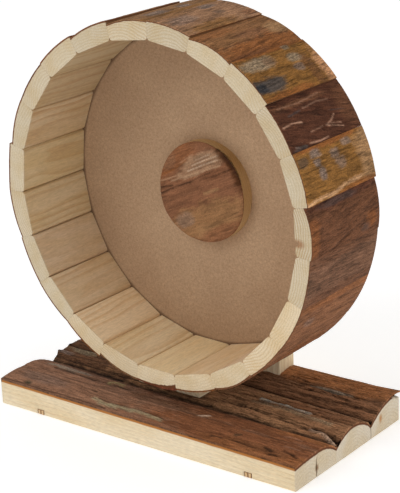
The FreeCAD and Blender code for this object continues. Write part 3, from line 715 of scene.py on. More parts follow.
STAVE_WANE = [
    (2.2, 0.3, 0.0), (-0.8, 0.6, 0.5), (2.6, 0.5, 0.6), (-1.2, 1.6, -1.2), (1.1, -0.6, 1.1),
    (0.8, 0.0, 0.8), (4.2, -0.1, 0.0), (1.1, -0.4, -0.3), (-0.3, 0.6, -0.3), (0.1, 0.2, 0.1),
    (1.1, 0.8, 1.6), (0.8, -0.6, 1.8), (5.0, -1.8, 0.6), (0.4, -0.2, 2.2), (-0.4, 0.0, 1.6),
    (1.8, -0.2, -0.4), (-0.2, 0.0, 0.4), (1.4, 0.8, -1.6), (-1.8, 1.0, -1.6), (1.2, 0.4, -0.6),
    (-0.4, 0.6, -0.4), (-1.0, 1.2, -0.8), (1.4, 0.6, -0.9),
]
STAVE_BARK = {
    1: (TAN, [(LILAC_GREY, (0.5, 0.82), (0.15, 0.45), 0.7), (LILAC_GREY, (0.55, 0.8), (0.58, 0.75), 0.7),
              (OCHRE, (0.82, 1.1), (-0.1, 1.1), 0.6)]),
    2: (LIGHT_BROWN, [(OCHRE, (-0.1, 0.2), (-0.1, 0.6), 0.5), (LILAC_GREY, (0.28, 0.66), (0.02, 0.38), 0.45),
                      (LILAC_GREY, (0.0, 0.26), (0.62, 0.82), 0.7),
                      (BLUE_BLACK, (0.42, 0.64), (0.6, 0.74), 0.35),
                      (OCHRE, (0.72, 1.1), (0.05, 0.7), 0.7), (RED_BROWN, (0.7, 0.92), (0.82, 1.0), 0.7)]),
    3: (WARM_TAN, [(RUST, (0.0, 0.3), (-0.1, 0.5), 0.4), (RED_BROWN, (0.34, 0.6), (0.35, 0.8), 0.6),
                   (RUST, (0.6, 1.1), (-0.1, 1.1), 0.7), (PEELED_TAN, (0.28, 0.68), (0.78, 1.05), 0.85),
                   (CHOCOLATE, (0.88, 1.1), (0.0, 0.6), 0.6)]),
    4: (OCHRE, [(RUST, (-0.1, 0.08), (-0.1, 1.1), 0.8), (LICHEN, (0.06, 0.38), (0.0, 0.46), 0.8),
                (CHOCOLATE, (0.16, 0.34), (0.3, 0.46), 0.5), (BLUE_BLACK, (0.52, 0.88), (-0.08, 0.4), 0.85),
                (INK_BLUE, (0.6, 0.84), (-0.06, 0.14), 0.8), (LICHEN, (0.2, 0.42), (0.6, 0.8), 0.8),
                (LICHEN, (-0.02, 0.12), (0.66, 0.78), 0.7), (LILAC_GREY, (0.46, 0.64), (0.6, 0.73), 0.6),
                (RUST, (0.88, 1.1), (-0.1, 0.75), 0.7), (CHOCOLATE, (0.25, 1.1), (0.73, 0.88), 0.55),
                (PEELED, (0.24, 1.1), (0.88, 1.12), 0.9)]),
    5: (COFFEE, [(RED_BROWN, (0.1, 0.22), (0.0, 0.8), 0.45), (CHOCOLATE, (0.0, 1.0), (0.8, 1.1), 0.7),
                 (BLUE_BLACK, (0.93, 1.05), (0.02, 0.22), 0.5)]),
    6: (OCHRE, [(RUST, (-0.1, 0.1), (-0.1, 1.1), 0.8), (PEELED_TAN, (-0.1, 1.1), (0.8, 1.12), 0.85),
                (BLUE_BLACK, (0.12, 0.32), (0.0, 0.15), 0.5), (LILAC_GREY, (0.04, 0.22), (0.18, 0.34), 0.75),
                (LILAC_GREY, (0.24, 0.4), (0.2, 0.3), 0.75), (LILAC_GREY, (0.38, 0.68), (0.23, 0.34), 0.75),
                (LILAC_GREY, (0.16, 0.36), (0.44, 0.58), 0.6), (LILAC_GREY, (0.34, 0.6), (0.48, 0.63), 0.5),
                (LILAC_GREY, (0.06, 0.22), (0.62, 0.78), 0.6), (RUST, (0.9, 1.1), (0.4, 1.1), 0.7)]),
    7: (CHOCOLATE, [(DARK_CHOCOLATE, (-0.1, 0.2), (-0.1, 1.1), 0.9),
                    (BLUE_BLACK, (0.03, 0.16), (0.1, 0.75), 0.4),
                    (RUST, (0.2, 1.0), (-0.1, 0.12), 0.45), (RUST, (0.55, 0.9), (0.78, 0.95), 0.5),
                    (BLUE_BLACK, (0.74, 0.92), (0.72, 0.86), 0.35)]),
    8: (DULL_BROWN, [(CHOCOLATE, (-0.1, 0.22), (-0.1, 1.1), 0.6),
                     (CHOCOLATE, (0.78, 1.1), (-0.1, 1.1), 0.6)]),
    9: (RED_BROWN, [(RUST, (-0.1, 0.2), (-0.1, 1.1), 0.4), (LILAC_GREY, (0.36, 0.58), (0.12, 0.3), 0.3)]),
    10: (RED_BROWN, [(RUST, (0.3, 0.9), (0.2, 1.0), 0.4)]),
    11: (RED_BROWN, [(CHOCOLATE, (0.3, 1.0), (0.0, 1.0), 0.5)]),
    13: (DARK_RED, [(CHOCOLATE, (0.3, 0.9), (0.3, 0.9), 0.5), (LILAC_GREY, (0.4, 0.7), (0.5, 0.75), 0.5),
                    (RUST, (0.7, 1.1), (0.4, 1.1), 0.4)]),
}
print("staves with bark from the photograph:", list(STAVE_BARK))

# %% Scratches and cracks of the staves

PINK_SCRATCH = srgb(196, 150, 122)
PEELED_EDGE = srgb(214, 164, 118)
STAVE_STROKES = {
    2: [([(10, 21), (34, 26), (60, 34)], 0.5, -0.4, DARK_CHOCOLATE, 0.6),
        ([(4, 17), (24, 24)], 0.5, -0.3, DARK_CHOCOLATE, 0.5)],
    3: [([(0, 26), (45, 24), (86, 27)], 0.5, -0.4, DARK_CHOCOLATE, 0.6),
        ([(20, 13), (60, 11)], 0.4, -0.2, DARK_CHOCOLATE, 0.4)],
    5: [([(2, 20.5), (14, 19.5), (25, 21)], 0.75, 0.2, PINK_SCRATCH, 0.85),
        ([(50, 29.6), (60, 31.8), (69, 34.5)], 0.7, 0.2, PINK_SCRATCH, 0.7),
        ([(50, 29.6), (58, 27.6), (64, 24)], 0.7, 0.2, PINK_SCRATCH, 0.65),
        ([(55, 29.2), (62, 30.2), (68, 31.6)], 0.6, 0.2, PINK_SCRATCH, 0.5),
        ([(24, 37), (36, 38.2), (47, 37.6)], 0.75, 0.2, PINK_SCRATCH, 0.8),
        ([(8, 6), (34, 7), (60, 5)], 0.6, 0.2, PINK_SCRATCH, 0.3),
        ([(30, 30), (46, 29)], 0.7, 0.2, PINK_SCRATCH, 0.4),
        ([(6, 36.5), (20, 38)], 0.7, 0.2, LILAC_GREY, 0.6),
        ([(34, 12), (52, 10.5), (66, 12)], 0.6, 0.2, PINK_SCRATCH, 0.4),
        ([(14, 14), (30, 12.5)], 0.8, -0.3, BLUE_BLACK, 0.5),
        ([(60, 20), (78, 23)], 0.4, -0.3, BLUE_BLACK, 0.5)],
    6: [([(0, 38.5), (12, 37), (34, 37.5), (52, 34.5), (72, 34)], 1.6, 0.3, PEELED_EDGE, 1.0)],
}
STAVE_SLANT = {3: 0.08, 4: 0.06, 5: -0.22, 7: 0.1}
LIFTED_STAVE, LIFTED_BARK, LIFTED_LENGTH = 13, 4.2, 30.0
print("strokes on staves:", sum(len(strokes) for strokes in STAVE_STROKES.values()))

# %% Tones of the staves

LOW_STAVES = range(9, 16)
HIGH_STAVES = (21, 22, 23, 1, 2, 3)
LEFT_STAVES = range(16, 21)
# Painted light and shade: the rims of the low staves are tinted lighter than the rest, and the inner faces of
# the high and left staves darker than the rest, by where each stave stands in the drum.
LOW_RIM_PAINTED_LIGHT = np.array((0.9, 0.87, 0.82))
HIGH_RIM_PAINTED_SHADE = np.array((0.78, 0.78, 0.77))
HIGH_FACE_PAINTED_SHADE = np.array((0.645, 0.63, 0.595))
LEFT_FACE_PAINTED_SHADE = np.array((0.795, 0.785, 0.78))
LOW_FACE_PAINTED_LIGHT = np.array((1.045, 1.06, 1.1))
KNOTTY_STAVE, KNOT_PLACE, KNOT_DEPTH = 7, 0.72, 3.4
KNOT_HEIGHT = 4.0
KNOT_TINT = (0.68, 0.49, 0.4)
RING_STRENGTH = {7: 1.6, 6: 0.5, 8: 1.0}
FACE_RINGS = {19: 1.5, 20: 1.2, 17: 0.5, 11: 1.1, 13: 0.55}
PLAIN_FACE_RINGS = 0.75
GROUNDS = [RED_BROWN, CHOCOLATE, TAN, RUST, GREY_BROWN, DARK_CHOCOLATE, OCHRE]
SPOTS = [LICHEN, LILAC_GREY, RUST, PEELED_TAN, OCHRE, DARK_CHOCOLATE]


def chance_bark(rng):
    """Ground and patches for a stave whose bark the front does not show."""
    patches = []
    for _ in range(int(rng.integers(3, 6))):
        u0, w0 = rng.uniform(-0.1, 0.8), rng.uniform(-0.1, 0.8)
        reach = (u0, u0 + rng.uniform(0.12, 0.5)), (w0, w0 + rng.uniform(0.15, 0.7))
        patches.append((SPOTS[rng.integers(len(SPOTS))], *reach, rng.uniform(0.4, 0.85)))
    return GROUNDS[rng.integers(len(GROUNDS))], patches


print("grounds to choose from:", len(GROUNDS), "and spots:", len(SPOTS))

# %% Make the staves

STAVE_SEED = 41
SEAM_DEPTH = STAVE_THICKNESS - 2.5
rng = np.random.default_rng(STAVE_SEED)
for number, (first_wane, crown, last_wane) in enumerate(STAVE_WANE, 1):
    name = f"stave_{number:02d}"
    ground, patches = chance_bark(rng)
    ground, patches = STAVE_BARK.get(number, (ground, patches))
    has_knot = number == KNOTTY_STAVE
    turn = math.radians(FIRST_TURN) + 2 * HALF_STAVE * (number - 1)
    piece = stave_shape.make(
        "bark_" + name, first_wane=first_wane, crown=crown, last_wane=last_wane, seed=float(number),
        turn=turn, log_radius=rng.uniform(40.0, 90.0), pith_shift=rng.uniform(-9.0, 9.0),
        slant=STAVE_SLANT.get(number, rng.uniform(-0.06, 0.06)), knot_place=KNOT_PLACE,
        knot_depth=KNOT_DEPTH if has_knot else 0.0, finish=stave_finish)
    u = read_attribute(piece.data, "edge_on")
    along = read_attribute(piece.data, "grain", 3)[:, 1]
    angles = turn + (u - 0.5) * 2 * HALF_STAVE
    outward = np.stack([np.sin(angles), np.zeros_like(angles), np.cos(angles)], axis=1)
    colours = paint(piece, ground, patches, u, along / STAVE_LENGTH)
    girth = u * 2 * HALF_STAVE * SEAM_RADIUS
    score(piece, along, girth, outward, colours, STAVE_STROKES.get(number, []))
    is_end = (along < ON_FACE) | (along > STAVE_LENGTH - ON_FACE)
    light = rng.uniform(0.94, 1.04)
    # The rim and face tones by the stave's place in the drum are painted light and shade.
    rim_tone = light * (LOW_RIM_PAINTED_LIGHT if number in LOW_STAVES else HIGH_RIM_PAINTED_SHADE)
    rings = RING_STRENGTH.get(number, rng.uniform(0.45, 0.9))
    green, blue = rng.uniform(0.88, 0.93), rng.uniform(0.74, 0.84)
    face = np.array((light, light * green, light * blue, FACE_RINGS.get(number, PLAIN_FACE_RINGS)))
    face[:3] *= HIGH_FACE_PAINTED_SHADE if number in HIGH_STAVES else LEFT_FACE_PAINTED_SHADE if number in LEFT_STAVES else LOW_FACE_PAINTED_LIGHT
    depth = read_attribute(piece.data, "depth")
    # The sides of a stave in a seam get painted shade.
    is_seam = (np.abs(u - 0.5) > 0.5 - ON_EDGE) & (depth < SEAM_DEPTH)
    if number == LIFTED_STAVE:
        lift = LIFTED_BARK * (1.0 - u) ** 1.5 * (1.0 - ramp(along, 0.0, LIFTED_LENGTH)) * (depth < ON_FACE)
        shift_points(piece, lift, outward)
    near_knot = np.hypot((u - KNOT_PLACE) / KNOT_WIDTH, (STAVE_THICKNESS - depth) / KNOT_HEIGHT)
    stain_and_gap_shade = has_knot * (along < KNOT_LENGTH[1]) * np.clip(1.6 - near_knot, 0.0, 1.0)
    wood_tone(piece, is_end, is_seam, np.append(rim_tone, rings), face, [(stain_and_gap_shade, KNOT_TINT)])
    set_down(piece, "wheel", "bark_stave", name)
print("staves:", STAVE_COUNT, "faces each:", len(piece.data.polygons))

# %% [markdown]
# ## The hub disc
# A slice of bark-faced log hides the axle's head. Its grain climbs to the right and its face is round across
# the grain. A square block is bent to a disc by the mapping that keeps its rows evenly spread, so the relief
# has no pole in the middle, as it would on a cylinder made of rings.

# %% Hub disc tree

HUB_GRAIN = math.radians(24.0)
HUB_OFF_CENTRE = (0.3, -1.9)
HUB_LOG_RADIUS = 260.0
HUB_PITH = (4.0, 60.0)
HUB_SEED = 31.0
hub_low, hub_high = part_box("hub_disc")
HUB_RADIUS = (hub_high.x - hub_low.x) * 500
HUB_FRONT = hub_low.y * 1000


def hub_tree():
    shape = ShapeTree("bark-faced disc", (69, 7, 69))
    graph = shape.graph
    radius, front, rear = (shape.size(name) for name in ("Radius", "Front", "Rear"))
    seed = shape.size("Seed")
    x, y, z = shape.place
    p, q, v = x * 2.0, z * 2.0, 0.5 - y
    right = radius * p * graph.math("SQRT", 1.0 - q * q * 0.5)
    up = radius * q * graph.math("SQRT", 1.0 - p * p * 0.5)
    across = up * math.cos(HUB_GRAIN) - right * math.sin(HUB_GRAIN)
    along = right * math.cos(HUB_GRAIN) + up * math.sin(HUB_GRAIN)
    face = front + across * across / (2 * HUB_LOG_RADIUS)
    height, relief = bark_relief(graph, across, along, seed, 1.0, 0.8)
    rim = graph.math("MAXIMUM", graph.math("ABSOLUTE", p), graph.math("ABSOLUTE", q))
    worn = graph.between(rim, 0.94, 1.0, 0.0, 0.7)
    depth_y = rear + (face - rear) * v - graph.between(v, 0.9, 1.0) * (height * 0.8 - worn)
    depth = (1.0 - v) * (rear - face)
    place = graph.vector(across + HUB_PITH[0], along, HUB_PITH[1] - depth)
    store_log_attributes(shape, across, along, seed, depth, relief, place)
    shape.move_points(right + HUB_OFF_CENTRE[0], depth_y, up + AXLE_HEIGHT + HUB_OFF_CENTRE[1])
    shape.close()
    return shape


hub_shape = hub_tree()
print("hub disc inputs:", list(hub_shape.keys))

# %% [markdown]
# ### Bark of the hub disc
# The disc is the middle of the picture, so its bark is drawn closely: pale fibres above a dark crack, tan
# below, and a chipped edge at the upper right. Patches are shares of the disc across and along its grain, and
# strokes are in millimetres along and across it. Its sawn side is darker at the upper right and paler at the
# lower right and at the upper left.

# %% Hub disc

hub_piece = hub_shape.make("bark_hub_disc", radius=HUB_RADIUS, front=HUB_FRONT, rear=PANEL_FRONT,
                           seed=HUB_SEED, finish=hub_finish)
hub_grain = read_attribute(hub_piece.data, "grain", 3)
HUB_BARK = [
    (RUST, (0.74, 1.1), (-0.1, 0.6), 0.3), (GREY_BROWN, (0.8, 1.0), (0.15, 0.35), 0.5),
    (PALE_FIBRE, (0.69, 0.86), (0.28, 0.95), 0.6), (GREY_BROWN, (0.72, 0.8), (0.4, 0.8), 0.35),
    (CHOCOLATE, (0.58, 0.67), (0.6, 0.95), 0.6), (TAN, (0.05, 0.41), (-0.02, 1.02), 0.95),
    (LILAC_GREY, (0.22, 0.37), (0.08, 0.32), 0.35), (PEELED_TAN, (0.06, 0.22), (0.26, 0.5), 0.3),
    (RED_BROWN, (0.0, 0.14), (0.3, 0.95), 0.9),
]
DARK_CHIP = srgb(66, 42, 28)
WHITE_FIBRE = srgb(204, 178, 152)
CHIP_BROWN = srgb(88, 54, 31)
HUB_STROKES = [
    ([(-41, 10.4), (-22, 11.4), (-6, 11)], 0.8, -0.7, DARK_CHIP, 0.95),
    ([(-41, 15.9), (-24, 13)], 0.8, -0.5, DARK_CHIP, 0.8),
    ([(-6, 11), (10, 12.4), (20, 13.4)], 0.6, -0.5, DARK_CHIP, 0.6),
    ([(4, 9.6), (24, 9), (38, 9.6)], 0.7, -0.6, DARK_CHIP, 0.7),
    ([(-24, 17), (0, 16), (30, 15)], 0.6, 0.2, PALE_FIBRE, 0.7),
    ([(-12, 14.6), (10, 14.8)], 0.5, 0.2, PALE_FIBRE, 0.5),
    ([(-36, 20), (-14, 19)], 0.6, 0.2, PALE_FIBRE, 0.5),
    ([(-6, 18.2), (14, 18.6), (32, 18)], 0.6, -0.5, GREY_BROWN, 0.9),
    ([(-2, 21), (18, 21.6), (32, 21.4)], 0.6, -0.5, GREY_BROWN, 0.9),
    ([(2, 24), (22, 24.6)], 0.6, -0.5, GREY_BROWN, 0.9),
    ([(6, 26.6), (20, 27)], 0.5, -0.5, GREY_BROWN, 0.8),
    ([(-4, 19.7), (14, 20.2), (28, 19.8)], 0.5, 0.3, WHITE_FIBRE, 0.7),
    ([(2, 22.7), (20, 23.2), (30, 22.8)], 0.5, 0.3, WHITE_FIBRE, 0.7),
    ([(6, 25.5), (22, 26)], 0.5, 0.3, WHITE_FIBRE, 0.6),
    ([(-36, 24), (-18, 25), (-2, 28)], 0.7, -0.4, RUST, 0.6),
    ([(31, 27), (36, 19), (39.5, 10), (40.5, 1), (39.5, -8)], 3.2, -1.2, CHIP_BROWN, 1.0),
    ([(32, 25), (37, 17), (40, 8), (40.5, 0)], 3.4, -1.2, CHIP_BROWN, 1.0),
    ([(34, 21), (38.5, 12), (40.5, 3)], 1.8, -0.6, DARK_CHIP, 0.8),
    ([(4, -1.4), (19, -1.4)], 1.2, 0.2, PEELED_TAN, 0.7),
    ([(-6, -4.6), (-4, -4.4)], 0.8, -0.3, CHOCOLATE, 0.7),
    ([(34, -6), (36, -6)], 0.9, -0.3, CHOCOLATE, 0.8),
    ([(-28, -6), (-24, -5)], 0.7, -0.3, CHOCOLATE, 0.6),
    ([(-20, -9), (10, -7)], 0.4, -0.2, CHOCOLATE, 0.35),
]
HUB_GROUND = srgb(133, 90, 64)
HUB_SIDE_TONE = np.array((0.67, 0.54, 0.38, 0.5))
HUB_SIDE_TINTS = [
    (52.0, 26.0, (0.8, 0.76, 0.7)),
    (-45.0, 24.0, (1.16, 1.22, 1.36)),
    (112.0, 24.0, (1.16, 1.22, 1.36)),
]
hub_across, hub_along = hub_grain[:, 0], hub_grain[:, 1]
hub_colours = paint(hub_piece, HUB_GROUND, HUB_BARK, hub_across / (2 * HUB_RADIUS) + 0.5,
                    hub_along / (2 * HUB_RADIUS) + 0.5)
score(hub_piece, hub_along, hub_across, np.array((0.0, -1.0, 0.0)), hub_colours, HUB_STROKES)
no_points = np.zeros(len(hub_grain), bool)
hub_turn = np.degrees(np.arctan2(hub_across, hub_along) + HUB_GRAIN)
side_tints = [(np.exp(-((hub_turn - turn) / reach) ** 2), tint) for turn, reach, tint in HUB_SIDE_TINTS]
wood_tone(hub_piece, no_points, no_points, np.ones(4), HUB_SIDE_TONE, side_tints)
set_down(hub_piece, "wheel", "bark_face", "hub_disc")
print("hub disc radius:", round(HUB_RADIUS, 1), "faces:", len(hub_piece.data.polygons))

# %% [markdown]
# ## The base
# Four half logs lie side by side, bark up and planed flat below, with keys in two grooves across the
# underside. A half log's round section changes from end to end, so the tree blends the section of the left
# end into that of the right. The grooves are cut by a Mesh Boolean node, and where the boards stand the bark
# is planed away.

# %% Half-log tree

base_low, base_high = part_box("base_strip_front")
BASE_LENGTH = (base_high.x - base_low.x) * 1000
BASE_FRONT = base_low.y * 1000
BASE_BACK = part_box("base_strip_back")[1].y * 1000
foot_low, foot_high = (corner * 1000 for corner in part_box("foot_board"))
upright_low, upright_high = (corner * 1000 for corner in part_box("upright_board"))
upright_middle = (upright_low.y + upright_high.y) / 2
KEY_INSET = 42.9
KEY_GROOVE = (7.4, 4.2)
GROOVE_RUN = 400.0
UPRIGHT_SCREWS = (-30.0, 0.0, 30.0)
SCREW_HEAD = 4.0
SCREW_SHANK = 2.0
SINK = 0.1
CUT_DEPTH = 30.0
SEAT_CLEARANCE = 0.05


def half_log_tree():
    shape = ShapeTree("half log", (241, 57, 16))
    graph = shape.graph
    ends = {}
    for end in ("left", "right"):
        names = ("Near", "Far", "Near edge", "Crest", "Far edge")
        ends[end] = [shape.size(f"{name} {end}") for name in names]
    seed, log_radius, shoulder = shape.size("Seed"), shape.size("Log radius"), shape.size("Shoulder")
    low_gap, high_gap = shape.size("Low gap"), shape.size("High gap")
    x, y, z = shape.place
    s, t, v = x + 0.5, y + 0.5, z + 0.5
    below = graph.math("POWER", 1.0 - v, 1.8)
    near, far, near_edge, crest, far_edge = (a + (b - a) * s for a, b in zip(ends["left"], ends["right"]))
    along = x * BASE_LENGTH
    gap = graph.between(v, 0.35, 0.6, low_gap, high_gap) * graph.between(t, 0.9, 1.0)
    depth_y = near + (far - near) * t - gap
    arch = 1.0 - graph.math("POWER", graph.math("ABSOLUTE", y * 2.0), 2.0 + shoulder * (1.0 - s))
    section = near_edge + (far_edge - near_edge) * t + (crest - (near_edge + far_edge) * 0.5) * arch
    height, relief = bark_relief(graph, depth_y, along, seed, 1.7, 1.5)
    worn = graph.between(graph.math("ABSOLUTE", x), 0.47, 0.5, 1.0, 0.35)
    worn = worn * graph.between(graph.math("ABSOLUTE", y), 0.4, 0.5, 1.0, 0.25)
    top = section + height * worn

    def inside(value, low, high):
        return graph.math("GREATER_THAN", value, low) * graph.math("LESS_THAN", value, high)

    for low, high, seat in ((foot_low, foot_high, foot_low.z), (upright_low, upright_high, upright_low.z)):
        under = inside(along, low.x, high.x) * inside(depth_y, low.y, high.y)
        top = top - under * graph.math("MAXIMUM", top - seat + SEAT_CLEARANCE, 0.0)
    up = (1.0 - below) * section + graph.between(v, 0.9, 1.0) * (top - section)
    depth = below * section
    middle = (near + far) * 0.5
    place = graph.vector(depth_y - middle, along, log_radius - depth)
    store_log_attributes(shape, depth_y, along, seed, depth, relief, place, ragged_mm=13.0)
    shape.store("across_strip", t)
    shape.move_points(along, depth_y, up)
    cutters = []

    def add_cutter(form, x_mm, y_mm):
        move = {"Geometry": form, "Translation": (x_mm / 1000, y_mm / 1000, -SINK / 1000)}
        deep = {"Geometry": graph.add("GeometryNodeTransform", move), "Name": "depth", "Value": CUT_DEPTH}
        cutters.append(graph.add("GeometryNodeStoreNamedAttribute", deep, data_type="FLOAT", domain="POINT"))

    groove = {"Size": (KEY_GROOVE[0] / 1000, GROOVE_RUN / 1000, 2 * (KEY_GROOVE[1] + SINK) / 1000)}
    for side in (-1, 1):
        key_x = side * (BASE_LENGTH / 2 - KEY_INSET)
        add_cutter(graph.add("GeometryNodeMeshCube", groove, "Mesh"), key_x, 0.0)
    hole = {"Vertices": 32, "Radius Bottom": (SCREW_HEAD + SINK) / 1000, "Radius Top": SCREW_SHANK / 1000,
            "Depth": (SCREW_HEAD - SCREW_SHANK + SINK) / 1000}
    for x_mm in UPRIGHT_SCREWS:
        add_cutter(graph.add("GeometryNodeMeshCone", hole, "Mesh"), x_mm, upright_middle)
    shape.cut(*cutters)
    shape.close()
    return shape


half_log_shape = half_log_tree()
print("half-log inputs:", len(half_log_shape.keys))

# %% [markdown]
# ### Four half logs
# Depths are counted from the front of the base. Each entry gives near and far side, near edge, crest and far
# edge, first at the left end and then at the right. Then come the radius of its log, its gaps to the next
# half log below and above, its ground colour and its patches.

# %% Colours and sections of the half logs

PURPLE_BROWN = srgb(157, 115, 89)
ORANGE_BROWN = srgb(140, 86, 53)
WARM_BROWN = srgb(175, 114, 69)
DUSKY_BROWN = srgb(152, 107, 76)
# Painted shade: the brown that darkens the half logs where they lie under the wheel.
PAINTED_SHADE_BROWN = srgb(108, 75, 53)
SAND_BROWN = srgb(189, 140, 100)
BLACK_BROWN = srgb(78, 54, 40)
BLACK = srgb(30, 22, 17)
YELLOW_GREEN = srgb(186, 168, 116)
PALE_OLIVE = srgb(176, 162, 128)
DARK_GREEN = srgb(60, 62, 46)
TEAL_GREY = srgb(192, 188, 172)
# Cream for a pale scratch, and for a painted highlight on a raised bark chip.
CREAM_SCRATCH_AND_HIGHLIGHT = srgb(232, 196, 166)
BACK_JOINT = BASE_BACK - BASE_FRONT
STRIPS = {
    "front": ((0.0, 28.5, 22.1, 23.5, 23.4), (0.0, 28.5, 19.7, 21.1, 21.6), 30.0, (1.2, 0.2), PURPLE_BROWN, [
        (ORANGE_BROWN, (-0.1, 1.1), (0.44, 1.2), 0.85), (WARM_BROWN, (-0.1, 0.5), (0.7, 1.1), 0.5),
        (LILAC_GREY, (0.3, 0.9), (0.02, 0.2), 0.3), (BLACK_BROWN, (0.2, 0.5), (0.8, 0.97), 0.4)]),
    "second": ((28.5, 63.0, 23.4, 22.4, 14.1), (28.5, 55.0, 21.6, 20.4, 13.5), 26.0, (0.05, 0.05),
               PURPLE_BROWN, [
        (ORANGE_BROWN, (-0.1, 0.8), (0.46, 1.2), 0.85), (BLACK_BROWN, (0.62, 1.2), (-0.1, 0.8), 0.65),
        # The first patch on the next line is painted shade under the wheel.
        (PAINTED_SHADE_BROWN, (-0.1, 0.3), (0.36, 0.62), 0.6), (WARM_BROWN, (0.3, 1.1), (0.84, 1.1), 0.7),
        (PALE_GREY, (0.4, 0.6), (0.02, 0.2), 0.6)]),
    "third": ((63.0, 107.0, 14.1, 21.4, 19.0), (55.0, 105.0, 13.5, 22.8, 12.6), 36.0, (0.8, 1.1),
              SAND_BROWN, [
        # The first patch on the next line is painted shade under the wheel.
        (PAINTED_SHADE_BROWN, (-0.1, 1.1), (-0.1, 0.3), 0.9), (OLIVE_GREY, (0.34, 0.52), (0.02, 0.12), 0.7),
        (LILAC_GREY, (0.2, 0.32), (-0.05, 0.06), 0.7), (ORANGE_BROWN, (0.45, 0.8), (0.72, 1.1), 0.6),
        (DUSKY_BROWN, (-0.1, 1.1), (0.82, 1.1), 0.55)]),
    "back": ((107.0, BACK_JOINT, 19.0, 23.2, 24.4), (105.0, BACK_JOINT, 12.6, 23.6, 24.4), 38.0, (0.0, 0.0),
             DUSKY_BROWN, [
        (WARM_BROWN, (0.45, 1.1), (0.5, 1.1), 0.85)]),
}
print("base length:", round(BASE_LENGTH, 1), "depth:", round(BACK_JOINT, 1))

# %% Cracks and lichen of the half logs

